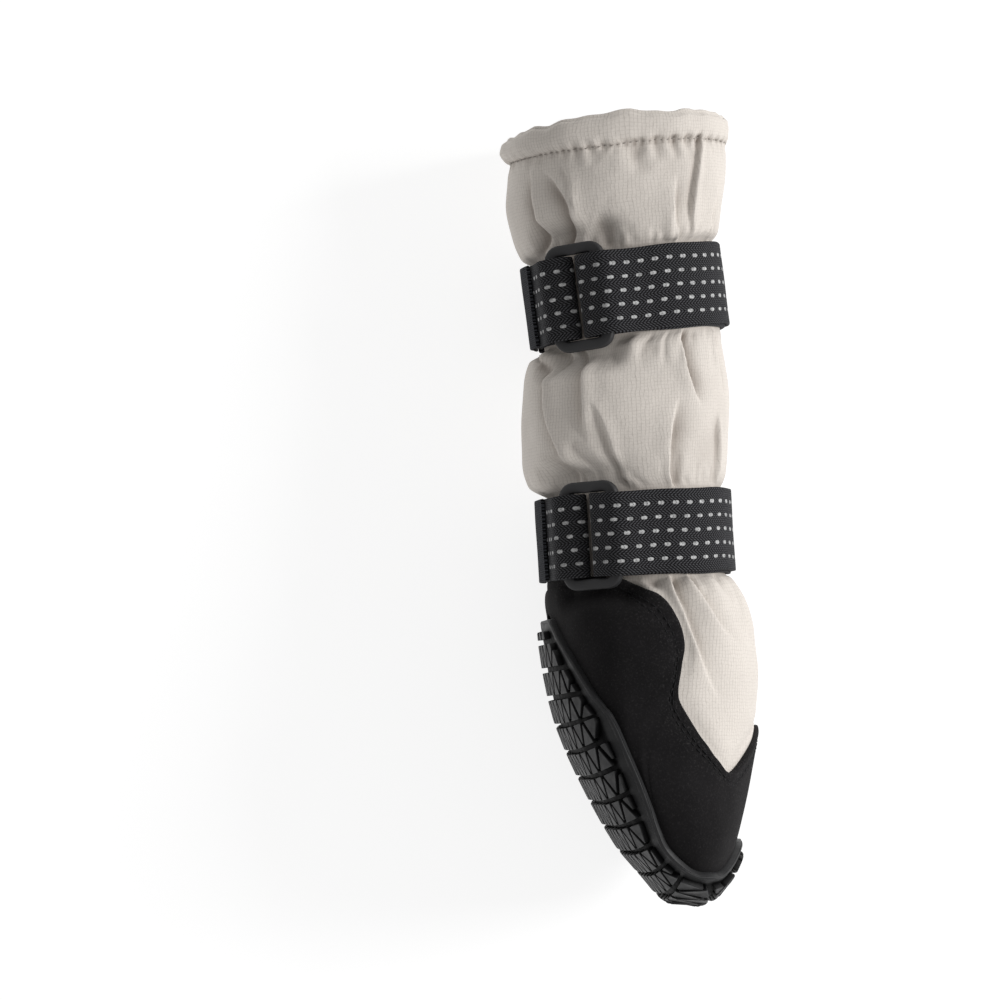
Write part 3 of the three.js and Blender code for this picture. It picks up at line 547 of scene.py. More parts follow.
    def turn_at(self, x: float, y: float) -> tuple[float, float]:
        """The turn and height of the point of the right side seen at x and y.

        Args:
            x: Place across the side view.
            y: Height in the side view.

        Returns:
            A turn in radians and a height.
        """
        s = self.section(np.array(y, float))
        for _ in range(6):
            s = self.section(np.array(y - s["slope"] * (x - s["widest"])))
        forward = x >= s["widest"]
        reach = s["to_front"] if forward else s["to_back"]
        power = (self.sizes.front_power if forward else s["power"]) / 2
        cosine = min(abs(float((x - s["widest"]) / reach)), 1.0) ** float(power)
        angle = math.acos(cosine)
        return (angle if forward else math.pi - angle), float(s["y"])

    def cast(self, origin: Array, direction: Array) -> Array:
        """Where rays from inside meet the skin.

        Args:
            origin: Ray starts.
            direction: Unit directions.

        Returns:
            The points met.
        """
        near = np.zeros(origin.shape[:-1])
        far = np.full(origin.shape[:-1], self.sizes.foot_width)
        for _ in range(24):
            middle = (near + far) / 2
            inside = self.level(origin + direction * middle[..., None]) < 0
            near = np.where(inside, middle, near)
            far = np.where(inside, far, middle)
        return origin + direction * ((near + far) / 2)[..., None]


@dataclass
class Edges:
    """The rand's top edge and the outsole's rim, as curves of turn and height."""

    sizes: BootSizes
    top_rows: Array = field(init=False)
    rim_rows: Array = field(init=False)
    top_line: Array = field(init=False)
    rim_line: Array = field(init=False)

    CHART_RADIUS = 31.0

    def __post_init__(self) -> None:
        """Reads both curves from the edge rows."""
        low, high = self.sizes.zone("foot")
        rows = np.array(EDGE_ROWS, float)
        rows[:, 0::2] *= DEGREE
        rows[:, 1::2] = low + (high - low) * rows[:, 1::2]
        self.top_rows, self.rim_rows = rows[:, :2], rows[:, 2:]
        self.top_line = self.top(np.linspace(0, 1, 161))
        self.rim_line = self.rim(np.linspace(0, 1, 161))

    def top(self, places: Array) -> Array:
        """Points of the top edge at places from the toe to the heel."""
        return catmull(self.top_rows, places)

    def rim(self, places: Array) -> Array:
        """Points of the rim at places from the toe to the heel."""
        return catmull(self.rim_rows, places)

    @staticmethod
    def _inside(polygon: Array, x: Array, y: Array) -> Array:
        """Whether points lie in a polygon.

        Args:
            polygon: Its corners.
            x: First coordinates of the points.
            y: Second coordinates.

        Returns:
            True for the points inside.
        """
        inside = np.zeros(x.shape, bool)
        for a, b in zip(polygon, np.roll(polygon, -1, axis=0)):
            crosses = (a[1] > y) != (b[1] > y)
            with np.errstate(divide="ignore", invalid="ignore"):
                at = (b[0] - a[0]) * (y - a[1]) / (b[1] - a[1]) + a[0]
            inside ^= crosses & (x < at)
        return inside

    def _below(self, line: Array, turn: Array, height: Array) -> Array:
        """Whether points are on the toe's side of a line.

        Args:
            line: The line's points.
            turn: Turns from 0 to pi.
            height: Heights.

        Returns:
            True for the points below it.
        """
        low, high, away = -0.1, math.pi + 0.1, 200.0
        corners = [[high, line[-1, 1]], [high, -away], [low, -away], [low, line[0, 1]]]
        return self._inside(np.vstack([line, corners]), turn, height)

    def below_rim(self, turn: Array, height: Array) -> Array:
        """Whether points lie on the outsole's side of the rim."""
        return self._below(self.rim_line, turn, height)

    def over_top(self, turn: Array, height: Array) -> Array:
        """Distance of points over the rand's top edge, below 0 under it.

        Args:
            turn: Turns from 0 to pi.
            height: Heights.

        Returns:
            Distances in millimetres.
        """
        points = np.stack([turn * self.CHART_RADIUS, height], axis=-1)
        line = self.top_line * [self.CHART_RADIUS, 1]
        best = np.full(turn.shape, 1e9)
        for a, b in zip(line[:-1:2], line[2::2]):
            way = b - a
            t = np.clip(((points - a) @ way) / (way @ way), 0, 1)
            best = np.minimum(best, np.linalg.norm(points - a - t[..., None] * way, axis=-1))
        return np.where(self._below(self.top_line, turn, height), -best, best)


@dataclass
class Piece:
    """One visible piece: grids and faces in millimetres of the boot's frame, built into a mesh."""

    name: str
    points: list[Array] = field(default_factory=list)
    faces: list[Array] = field(default_factory=list)
    uvs: list[Array] = field(default_factory=list)
    shades: list[Array] = field(default_factory=list)
    count: int = 0

    @staticmethod
    def _cells(grid: Array, flip: bool) -> Array:
        """The four corners of each cell of a grid, turned over if flip.

        Args:
            grid: Rows by columns.
            flip: Turns the cells over.

        Returns:
            The corners of each cell.
        """
        height, width = grid.shape[0] - 1, grid.shape[1] - 1
        corners = [(0, 0), (0, 1), (1, 1), (1, 0)]
        if flip:
            corners.reverse()
        return np.stack([grid[r : r + height, c : c + width] for r, c in corners], axis=2)

    def add_grid(self, points: Array, uv: Array, closed: bool = False, flip: bool = False) -> None:
        """Adds a grid of quads.

        Args:
            points: Rows by columns by 3.
            uv: Rows by columns by 2, with one more column if closed.
            closed: Joins the last column to the first.
            flip: Turns the faces over.
        """
        rows, cols = points.shape[:2]
        index = self.count + np.arange(rows * cols).reshape(rows, cols)
        if closed:
            index = np.concatenate([index, index[:, :1]], axis=1)
        self.faces.append(self._cells(index, flip).reshape(-1, 4))
        self.uvs.append(self._cells(uv, flip).reshape(-1, 2))
        self.points.append(points.reshape(-1, 3))
        self.count += rows * cols

    def add_fan(self, centre: Array, ring: Array, uv: Array) -> None:
        """Adds triangles from a centre to a closed ring.

        Args:
            centre: The centre's point.
            ring: The ring's points.
            uv: Their texture places, the centre's first.
        """
        size = len(ring)
        i = np.arange(size)
        j = (i + 1) % size
        hub, rim = np.full(size, self.count), self.count + 1
        self.faces.append(np.stack([hub, rim + i, rim + j, np.full(size, -1)], axis=1))
        middle = np.broadcast_to(uv[0], (size, 2))
        self.uvs.append(np.stack([middle, uv[1 + i], uv[1 + j]], axis=1).reshape(-1, 2))
        self.points.append(np.vstack([centre[None], ring]))
        self.count += size + 1

    def build(self, material: Material, slot: Slot, *replaced: str) -> None:
        """Makes the mesh, lays it on the floor and gives it to the frame.

        Args:
            material: The piece's material.
            slot: The record's slot, which is not used.
            *replaced: Solids that it stands for.
        """
        points = laid(np.vstack(self.points))
        faces = np.vstack(self.faces)
        polygons = [tuple(face[face >= 0].tolist()) for face in faces]
        mesh = bpy.data.meshes.new(self.name)
        mesh.from_pydata(points.tolist(), [], polygons)
        layer = mesh.uv_layers.new(name="fabric_mm")
        layer.data.foreach_set("uv", np.vstack(self.uvs).astype(np.float32).ravel())
        mesh.polygons.foreach_set("use_smooth", np.ones(len(polygons), bool))
        mesh.materials.append(material)
        # The painted shade of each point, which the materials read.
        if self.shades:
            shade = mesh.attributes.new("shade", "FLOAT", "POINT")
            shade.data.foreach_set("value", np.concatenate(self.shades).astype(np.float32).ravel())
        mesh.update()
        thing = bpy.data.objects.new(self.name, mesh)
        bpy.context.scene.collection.objects.link(thing)
        if replaced:
            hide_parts(*replaced)
        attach(thing, "root")
        LOG.info("%s: %d points, %d faces", self.name, len(points), len(polygons))


# Where the boot's origin lies in the shared frame, in millimetres.
LAIN_AT = np.array([0.380701, -121.158524, 45.0])


def laid(points: Array) -> Array:
    """Points of the boot's frame in the shared frame."""
    return (turned(points) + LAIN_AT) / 1000


def turned(vectors: Array) -> Array:
    """Vectors of the boot's frame, turned as the boot lies.

    Args:
        vectors: The vectors.

    Returns:
        The turned vectors.
    """
    tilt = SIZES.lie_tilt * DEGREE
    x, y, z = np.moveaxis(vectors, -1, 0)
    cosine, sine = math.cos(tilt), math.sin(tilt)
    return np.stack([x, y * cosine + z * sine, z * cosine - y * sine], axis=-1)


def scaled(colour: Colour, factor: float) -> Colour:
    """A colour times a factor."""
    return tuple(factor * part for part in colour)


class Nodes:
    """Short ways to wire a material's nodes."""

    def __init__(self, name: str, roughness: float) -> None:
        """Starts a material.

        Args:
            name: The material's name.
            roughness: Its roughness.
        """
        self.material = bpy.data.materials.new(name)
        self.material.use_nodes = True
        self.tree = self.material.node_tree
        self.shader = next(n for n in self.tree.nodes if n.type == "BSDF_PRINCIPLED")
        self.feed(self.shader.inputs["Roughness"], roughness)

    def feed(self, target: Socket, value: object) -> None:
        """Gives an input its value.

        Args:
            target: The input.
            value: An output to wire to it, a colour or a number.
        """
        if isinstance(value, Socket):
            self.tree.links.new(value, target)
        else:
            target.default_value = (*value, 1.0) if isinstance(value, tuple) else value

    def add(self, kind: str, *terms: object, **values: object) -> bpy.types.Node:
        """Adds a node, sets its properties and feeds its inputs.

        Args:
            kind: The node's type name.
            *terms: Values of its first inputs, in their order.
            **values: Properties, or values of inputs by name.

        Returns:
            The node.
        """
        node = self.tree.nodes.new(kind)
        for key, value in values.items():
            if hasattr(node, key):
                setattr(node, key, value)
            else:
                self.feed(node.inputs[key], value)
        for target, value in zip(node.inputs, terms):
            self.feed(target, value)
        return node

    def math(self, operation: str, *terms: object) -> Socket:
        """A math node's output, fed with sockets or numbers."""
        return self.add("ShaderNodeMath", *terms, operation=operation).outputs[0]

    def times(self, first: object, second: object) -> Socket:
        """A product's output."""
        return self.math("MULTIPLY", first, second)

    def uv(self) -> tuple[Socket, Socket, Socket]:
        """The texture place in millimetres: its first part, its second part and both.

        Returns:
            The three outputs.
        """
        both = self.add("ShaderNodeTexCoord").outputs["UV"]
        split = self.add("ShaderNodeSeparateXYZ", both)
        return split.outputs[0], split.outputs[1], both

    def noise(self, where: Socket, scale: float, detail: float = 2.0, roughness: float = 0.5) -> Socket:
        """A noise texture's value at a place."""
        values = {"Vector": where, "Scale": scale, "Detail": detail, "Roughness": roughness}
        return self.add("ShaderNodeTexNoise", **values).outputs[0]

    def space(self) -> Socket:
        """The place in the object's own space, in metres."""
        return self.add("ShaderNodeTexCoord").outputs["Object"]

    def line(self, value: Socket, pitch: float, width: float) -> Socket:
        """Soft lines at even steps: 1 on a line and 0 between.

        Args:
            value: The coordinate in millimetres.
            pitch: Distance between lines.
            width: A line's width.

        Returns:
            The mask.
        """
        wave = self.math("PINGPONG", value, pitch / 2)
        ends = (width * 0.3, width * 0.7, 1.0, 0.0)
        return self.add("ShaderNodeMapRange", wave, *ends, interpolation_type="SMOOTHSTEP").outputs[0]

    def ramp(self, value: Socket, low: float, high: float, start: float = 0.0, end: float = 1.0) -> Socket:
        """A value mapped, within its ends, from low and high to start and end."""
        return self.add("ShaderNodeMapRange", value, low, high, start, end).outputs[0]

    def mix(self, factor: object, first: object, second: object) -> Socket:
        """A mix of two colours.

        Args:
            factor: 0 for the first and 1 for the second.
            first: A colour.
            second: A colour.

        Returns:
            The mixed colour.
        """
        node = self.add("ShaderNodeMix", factor, data_type="RGBA")
        self.feed(node.inputs[6], first)
        self.feed(node.inputs[7], second)
        return node.outputs[2]

    def colour(self, colour: object) -> None:
        """Sets the base colour."""
        self.feed(self.shader.inputs["Base Color"], colour)

    def bump(self, height: Socket, strength: float, depth_mm: float) -> None:
        """Adds a bump over any earlier one.

        Args:
            height: The height, from 0 to 1.
            strength: The bump's strength.
            depth_mm: How deep a height of 1 is.
        """
        node = self.add("ShaderNodeBump", Strength=strength, Distance=depth_mm / 1000, Height=height)
        normal = self.shader.inputs["Normal"]
        if normal.links:
            self.feed(node.inputs["Normal"], normal.links[0].from_socket)
        self.feed(normal, node.outputs[0])

    def specular(self, level: object) -> None:
        """Sets how strongly the surface mirrors light."""
        self.feed(self.shader.inputs["Specular IOR Level"], level)

    def shade(self) -> Socket:
        """The painted shade of each point: how much darker it is than the plain colour, from 0 to 1."""
        return self.add("ShaderNodeAttribute", attribute_name="shade").outputs["Fac"]

    def sheen(self, weight: float, roughness: float, tint: Colour) -> None:
        """Sets the sheen of a napped surface: its weight, roughness and tint."""
        for name, value in (("Weight", weight), ("Roughness", roughness), ("Tint", tint)):
            self.feed(self.shader.inputs["Sheen " + name], value)


@dataclass(frozen=True)
class RipstopFinish:
    """Pale ripstop: a fine plain weave with a raised grid, with painted shade in its folds."""

    colour: Colour = (0.63, 0.583, 0.534)
    line_colour: Colour = (0.33, 0.295, 0.262)
    # Painted shade: the colour that the folds' valleys, the fabric beside the straps and the hem's seam are
    # darkened towards.
    painted_shade_colour: Colour = (0.2, 0.163, 0.138)
    pitch: float = 1.0
    line_width: float = 0.22
    yarn_pitch: float = 0.24
    yarn_width: float = 0.12
    roughness: float = 0.78

    def material(self) -> Material:
        """Builds the material.

        Returns:
            The material.
        """
        n = Nodes("ripstop_fabric", self.roughness)
        u, v, uv = n.uv()
        wander = n.times(n.noise(uv, 0.25, 1.0), 1.2)
        along = n.line(n.math("ADD", u, wander), self.pitch, self.line_width)
        across = n.times(n.line(n.math("ADD", v, wander), self.pitch, self.line_width), 0.6)
        grid = n.math("MAXIMUM", along, across)
        yarn = (self.yarn_pitch, self.yarn_width)
        weave = n.times(n.line(u, *yarn), n.line(v, *yarn))
        mottle = n.ramp(n.noise(uv, 0.08, 4.0, 0.6), 0.3, 0.7, 0.0, 0.35)
        fine = n.ramp(n.noise(uv, 1.1, 3.0, 0.7), 0.3, 0.7, 0.05, 0.6)
        base = n.mix(mottle, self.colour, scaled(self.colour, 0.88))
        base = n.mix(n.times(grid, fine), base, self.line_colour)
        base = n.mix(n.times(weave, 0.12), base, self.line_colour)
        # Painted shade: darkens the colour towards the shade colour by the points' shade.
        n.colour(n.mix(n.shade(), base, self.painted_shade_colour))
        n.bump(n.noise(uv, 0.22, 4.0, 0.55), 0.45, 0.7)
        n.bump(n.noise(uv, 0.7, 3.0, 0.6), 0.35, 0.2)
        n.bump(grid, 0.35, 0.07)
        n.bump(weave, 0.25, 0.04)
        n.sheen(0.12, 0.5, (1.0, 0.97, 0.92))
        return n.material


@dataclass(frozen=True)
class SuedeFinish:
    """Napped black suede with fine pale flecks."""

    colour: Colour = (0.0082, 0.0077, 0.0081)
    fleck: Colour = (0.075, 0.07, 0.07)
    roughness: float = 0.95

    def material(self) -> Material:
        """Builds the material.

        Returns:
            The material.
        """
        n = Nodes("suede", self.roughness)
        where = n.space()
        _, down, _ = n.uv()
        flecks = n.ramp(n.noise(where, 1500.0, 4.0, 0.85), 0.53, 0.7)
        flecks = n.times(flecks, n.ramp(down, 1.0, 11.0, 1.0, 0.4))
        fibres = n.ramp(n.noise(where, 420.0, 5.0, 0.8), 0.6, 0.72, 0.0, 0.6)
        cloud = n.ramp(n.noise(where, 90.0, 3.0, 0.6), 0.35, 0.75, 0.0, 0.45)
        base = n.mix(cloud, self.colour, scaled(self.colour, 1.9))
        base = n.mix(fibres, base, scaled(self.colour, 2.6))
        n.colour(n.mix(n.times(flecks, 0.6), base, self.fleck))
        n.bump(n.noise(where, 240.0, 4.0, 0.7), 0.35, 0.3)
        n.bump(n.noise(where, 1700.0, 3.0, 0.7), 0.5, 0.12)
        n.sheen(0.05, 0.5, (0.55, 0.53, 0.53))
        n.specular(0.08)
        return n.material


@dataclass(frozen=True)
class RubberFinish:
    """Moulded dark rubber with a fine grain, and painted shade in the grooves between its lugs."""

    colour: Colour = (0.0125, 0.0125, 0.0135)
    dust_colour: Colour = (0.018, 0.0175, 0.018)
    # Painted shade: the colour of the grooves between the lugs and of the lugs' lower walls.
    painted_shade_colour: Colour = (0.0022, 0.0022, 0.0024)
    roughness: float = 0.56

    def material(self) -> Material:
        """Builds the material.

        Returns:
            The material.
        """
        n = Nodes("moulded_rubber", self.roughness)
        where = n.space()
        dust = n.ramp(n.noise(where, 60.0, 4.0, 0.6), 0.4, 0.75, 0.0, 0.5)
        base = n.mix(dust, self.colour, self.dust_colour)
        # Painted shade from the points' shade: the grooves and the lugs' lower walls are darkened, and their
        # reflection is dimmed too.
        shade = n.shade()
        n.colour(n.mix(shade, base, self.painted_shade_colour))
        smoothest, roughest = self.roughness - 0.08, self.roughness + 0.12
        rough = n.ramp(n.noise(where, 300.0, 3.0, 0.6), 0.3, 0.7, smoothest, roughest)
        n.feed(n.shader.inputs["Roughness"], rough)
        n.bump(n.noise(where, 900.0, 3.0, 0.6), 0.25, 0.12)
        n.specular(n.ramp(shade, 0.0, 1.0, 0.34, 0.03))
        return n.material


@dataclass(frozen=True)
class WebbingFinish:
    """Black twill webbing with rows of pale dashes along it; its twill is drawn as painted highlights on the
    raised yarns.
    """

    name: str = "dashed_webbing"
    colour: Colour = (0.0085, 0.0085, 0.0092)
    dash_colour: Colour = (0.62, 0.62, 0.62)
    rows: int = 5
    row_pitch: float = 4.15
    dash_pitch: float = 4.6
    dash_length: float = 2.1
    dash_width: float = 1.15
    row_shift: float = 1.1
    twill_pitch: float = 1.15
    twill_width: float = 0.62
    yarn_pitch: float = 0.62
    yarn_width: float = 0.4
    width: float = SIZES.webbing_width

    def material(self) -> Material:
        """Builds the material.

        Returns:
            The material.
        """
        n = Nodes(self.name, 0.85)
        u, v, uv = n.uv()
        zigzag = n.math("PINGPONG", v, self.row_pitch / 2)
        twill = n.line(n.math("ADD", u, n.times(zigzag, 1.2)), self.twill_pitch, self.twill_width)
        yarn = n.line(v, self.yarn_pitch, self.yarn_width)
        # Painted highlight: the raised twill yarns get a lit copy of the black and the gaps between them a
        # shaded copy; the same mask raises them as a bump.
        shade = n.times(twill, n.math("ADD", n.times(yarn, 0.65), 0.35))
        base = n.mix(shade, scaled(self.colour, 0.1), scaled(self.colour, 7.6))
        # Painted highlight: some yarn highlights are painted brighter, in patches.
        patchy_highlight = n.ramp(n.noise(uv, 2.0, 2.0, 0.7), 0.5, 0.85, 0.0, 0.35)
        base = n.mix(n.times(patchy_highlight, shade), base, scaled(self.colour, 7.0))
        if self.rows:
            first = self.width / 2 - self.row_pitch * self.rows / 2
            row_place = n.math("SUBTRACT", v, first)
            row = n.math("FLOOR", n.math("DIVIDE", row_place, self.row_pitch))
            from_row = n.math("SUBTRACT", n.math("MODULO", row_place, self.row_pitch), self.row_pitch / 2)
            place = n.math("ADD", u, n.times(row, self.row_shift))
            along = n.math("SUBTRACT", n.math("FLOORED_MODULO", place, self.dash_pitch), self.dash_pitch / 2)
            past = n.math("SUBTRACT", n.math("ABSOLUTE", along), (self.dash_length - self.dash_width) / 2)
            past = n.math("MAXIMUM", past, 0.0)
            square = n.math("ADD", n.times(past, past), n.times(from_row, from_row))
            distance = n.math("SQRT", square)
            over_first = n.math("GREATER_THAN", row, -0.5)
            band = n.times(over_first, n.math("LESS_THAN", row, self.rows - 0.5))
            spot = n.ramp(distance, self.dash_width / 2 - 0.14, self.dash_width / 2 + 0.06, 1.0, 0.0)
            dash = n.times(spot, band)
            glint = n.ramp(n.noise(uv, 0.9, 2.0, 0.6), 0.3, 0.7, 0.35, 1.0)
            base = n.mix(n.times(dash, glint), base, self.dash_colour)
            n.bump(dash, 0.6, 0.3)
        n.colour(base)
        n.bump(shade, 0.9, 0.3)
        n.sheen(0.03, 0.5, (0.6, 0.6, 0.65))
        n.specular(0.15)
        return n.material


@dataclass(frozen=True)
class PlasticFinish:
    """Black moulded plastic with a fine spark grain."""

    colour: Colour = (0.021, 0.0205, 0.0225)
    worn_colour: Colour = (0.019, 0.019, 0.02)
    roughness: float = 0.58

    def material(self) -> Material:
        """Builds the material.

        Returns:
            The material.
        """
        n = Nodes("ring_plastic_black", self.roughness)
        where = n.space()
        n.colour(n.mix(n.ramp(n.noise(where, 150.0, 3.0), 0.3, 0.7), self.colour, self.worn_colour))
        n.bump(n.noise(where, 1600.0, 3.0, 0.6), 0.25, 0.06)
        return n.material


@dataclass(frozen=True)
class FleeceFinish:
    """Soft napped cloth for the lining and the insole."""

    name: str
    colour: Colour
    scale: float = 700.0

    def material(self) -> Material:
        """Builds the material.

        Returns:
            The material.
        """
        n = Nodes(self.name, 0.95)
        where = n.space()
        nap = n.noise(where, self.scale, 4.0, 0.7)
        n.colour(n.mix(n.ramp(nap, 0.3, 0.7), scaled(self.colour, 0.7), self.colour))
        n.bump(nap, 0.6, 0.5)
        n.sheen(0.4, 0.6, (1.0, 1.0, 1.0))
        return n.material


@dataclass(frozen=True)
class ThreadFinish:
    """Twisted sewing thread."""

    name: str
    colour: Colour

    def material(self) -> Material:
        """Builds the material.

        Returns:
            The material.
        """
        n = Nodes(self.name, 0.7)
        u, _, _ = n.uv()
        twist = n.line(u, 0.45, 0.25)
        n.colour(n.mix(n.times(twist, 0.5), self.colour, scaled(self.colour, 0.5)))
        n.bump(twist, 0.4, 0.08)
        n.specular(0.12)
        return n.material


@dataclass(frozen=True)
class Crease:
    """A fold: a lip along a line of the right side view, and a valley on one side of it.

    The valley lies to the right of the line as it runs, or to its left where its side is -1. Side 0 is an
    even trough.
    """

    depth: float
    width: float
    side: float
    line: tuple[tuple[float, float], ...]


# Folds of the right side: depth, width, the valley's side, and a line of the side view.
CREASES = (
    # The cuff, from the upper strap up to the hem.
    Crease(1.9, 2.6, -1, ((-27.2, 196.5), (-29.2, 203), (-31, 211), (-31.6, 219), (-31, 226))),
    Crease(2.3, 3.2, -1, ((-21.8, 198.5), (-20.6, 205), (-21.2, 212), (-25, 219), (-28.6, 224))),
    Crease(0.8, 2.4, -1, ((-20.2, 214), (-20.8, 220), (-23.5, 227))),
    Crease(0.8, 3.6, 0, ((-9.5, 198.8), (-12, 203.5), (-15.5, 206.5))),
    Crease(2, 3, 1, ((11.6, 199), (10.6, 206), (10.5, 213), (11.4, 222))),
    Crease(1.8, 1.9, -1, ((19.7, 231), (18.8, 224), (17.4, 216), (16.4, 208), (16, 200))),
    Crease(1, 2.4, 1, ((21.8, 202), (22.6, 209), (24.4, 217), (25, 225))),
    Crease(0.7, 2.2, 0, ((-1.5, 229.5), (-0.5, 225), (0.6, 220))),
    # The calf, from the upper strap down.
    Crease(2.2, 2.4, -1, ((-26.6, 173.5), (-28.4, 163), (-27.6, 150),
                          (-24.2, 139), (-19.2, 128.5), (-14, 119))),
    Crease(1.5, 1.8, -1, ((-24.6, 173.5), (-24.7, 166), (-25.8, 158))),
    Crease(2.5, 2.8, -1, ((-19.6, 173), (-17.8, 164), (-16.9, 154), (-16.6, 146), (-15.4, 139))),
    Crease(0.8, 2.2, 0, ((-19.8, 138.5), (-17.6, 135), (-16, 131.5))),
    Crease(1.5, 2, -1, ((-5.8, 129), (-7.6, 134), (-9.6, 141), (-12.2, 148), (-14.8, 153.5))),
    Crease(0.9, 2.4, 0, ((2, 174.5), (2.6, 170), (3.2, 164))),
    Crease(2.7, 3.2, 1, ((12.8, 174.5), (13, 168), (14.2, 162), (16.6, 156), (19.2, 150.5))),
    Crease(2.3, 3.4, 1, ((9, 127), (8.2, 133), (8.6, 140), (9.8, 147), (11.6, 155))),
    Crease(1.2, 2.2, 1, ((23, 173.8), (24.6, 167), (26.6, 160), (27.9, 154))),
    Crease(1, 2.6, 0, ((-24.4, 129), (-26, 134), (-26.6, 139))),
    # The foot, from the lower strap down to the suede.
    Crease(2.5, 3, 1, ((8.2, 101.5), (8.8, 96), (11.2, 90), (14.6, 80.5), (18.2, 70.5), (23.2, 61.5))),
    Crease(2.4, 2.6, 1, ((13.6, 101.5), (14.4, 98), (17.2, 93.5),
                         (20.6, 88), (24.4, 83), (29, 79))),
    Crease(0.9, 2.2, 0, ((1, 101.5), (3.6, 97), (7, 92.6))),
    Crease(0.8, 2.4, 0, ((22, 101.5), (25, 97.5), (28.4, 92))),
)
# Folds of the front, which the side view doesn't show, as lines of turns and heights.
FRONT_CREASES = (
    Crease(1.9, 2.6, 1, ((4, 173), (-3, 160), (-7, 149), (-5, 127))),
    Crease(1.6, 2.8, -1, ((-6, 199), (-9, 206), (-7, 216))),
    Crease(1.5, 2.8, 1, ((24, 199), (26, 205), (22, 214))),
    Crease(1.3, 2.6, -1, ((-28, 199), (-31, 209), (-25, 221))),
    Crease(1.5, 2.6, 1, ((-36, 173), (-33, 158), (-26, 146))),
    Crease(1.4, 2.6, -1, ((30, 127), (27, 138), (31, 149))),
    Crease(1.4, 2.2, 1, ((6, 100.4), (5, 92), (8, 80))),
    Crease(1.3, 2.2, -1, ((-14, 100.4), (-16, 90), (-21, 76))),
    Crease(1.4, 2.2, 1, ((23, 100.4), (26, 90), (30, 78))),
    Crease(1.3, 2.8, -1, ((-42, 100.4), (-50, 84), (-58, 62))),
)


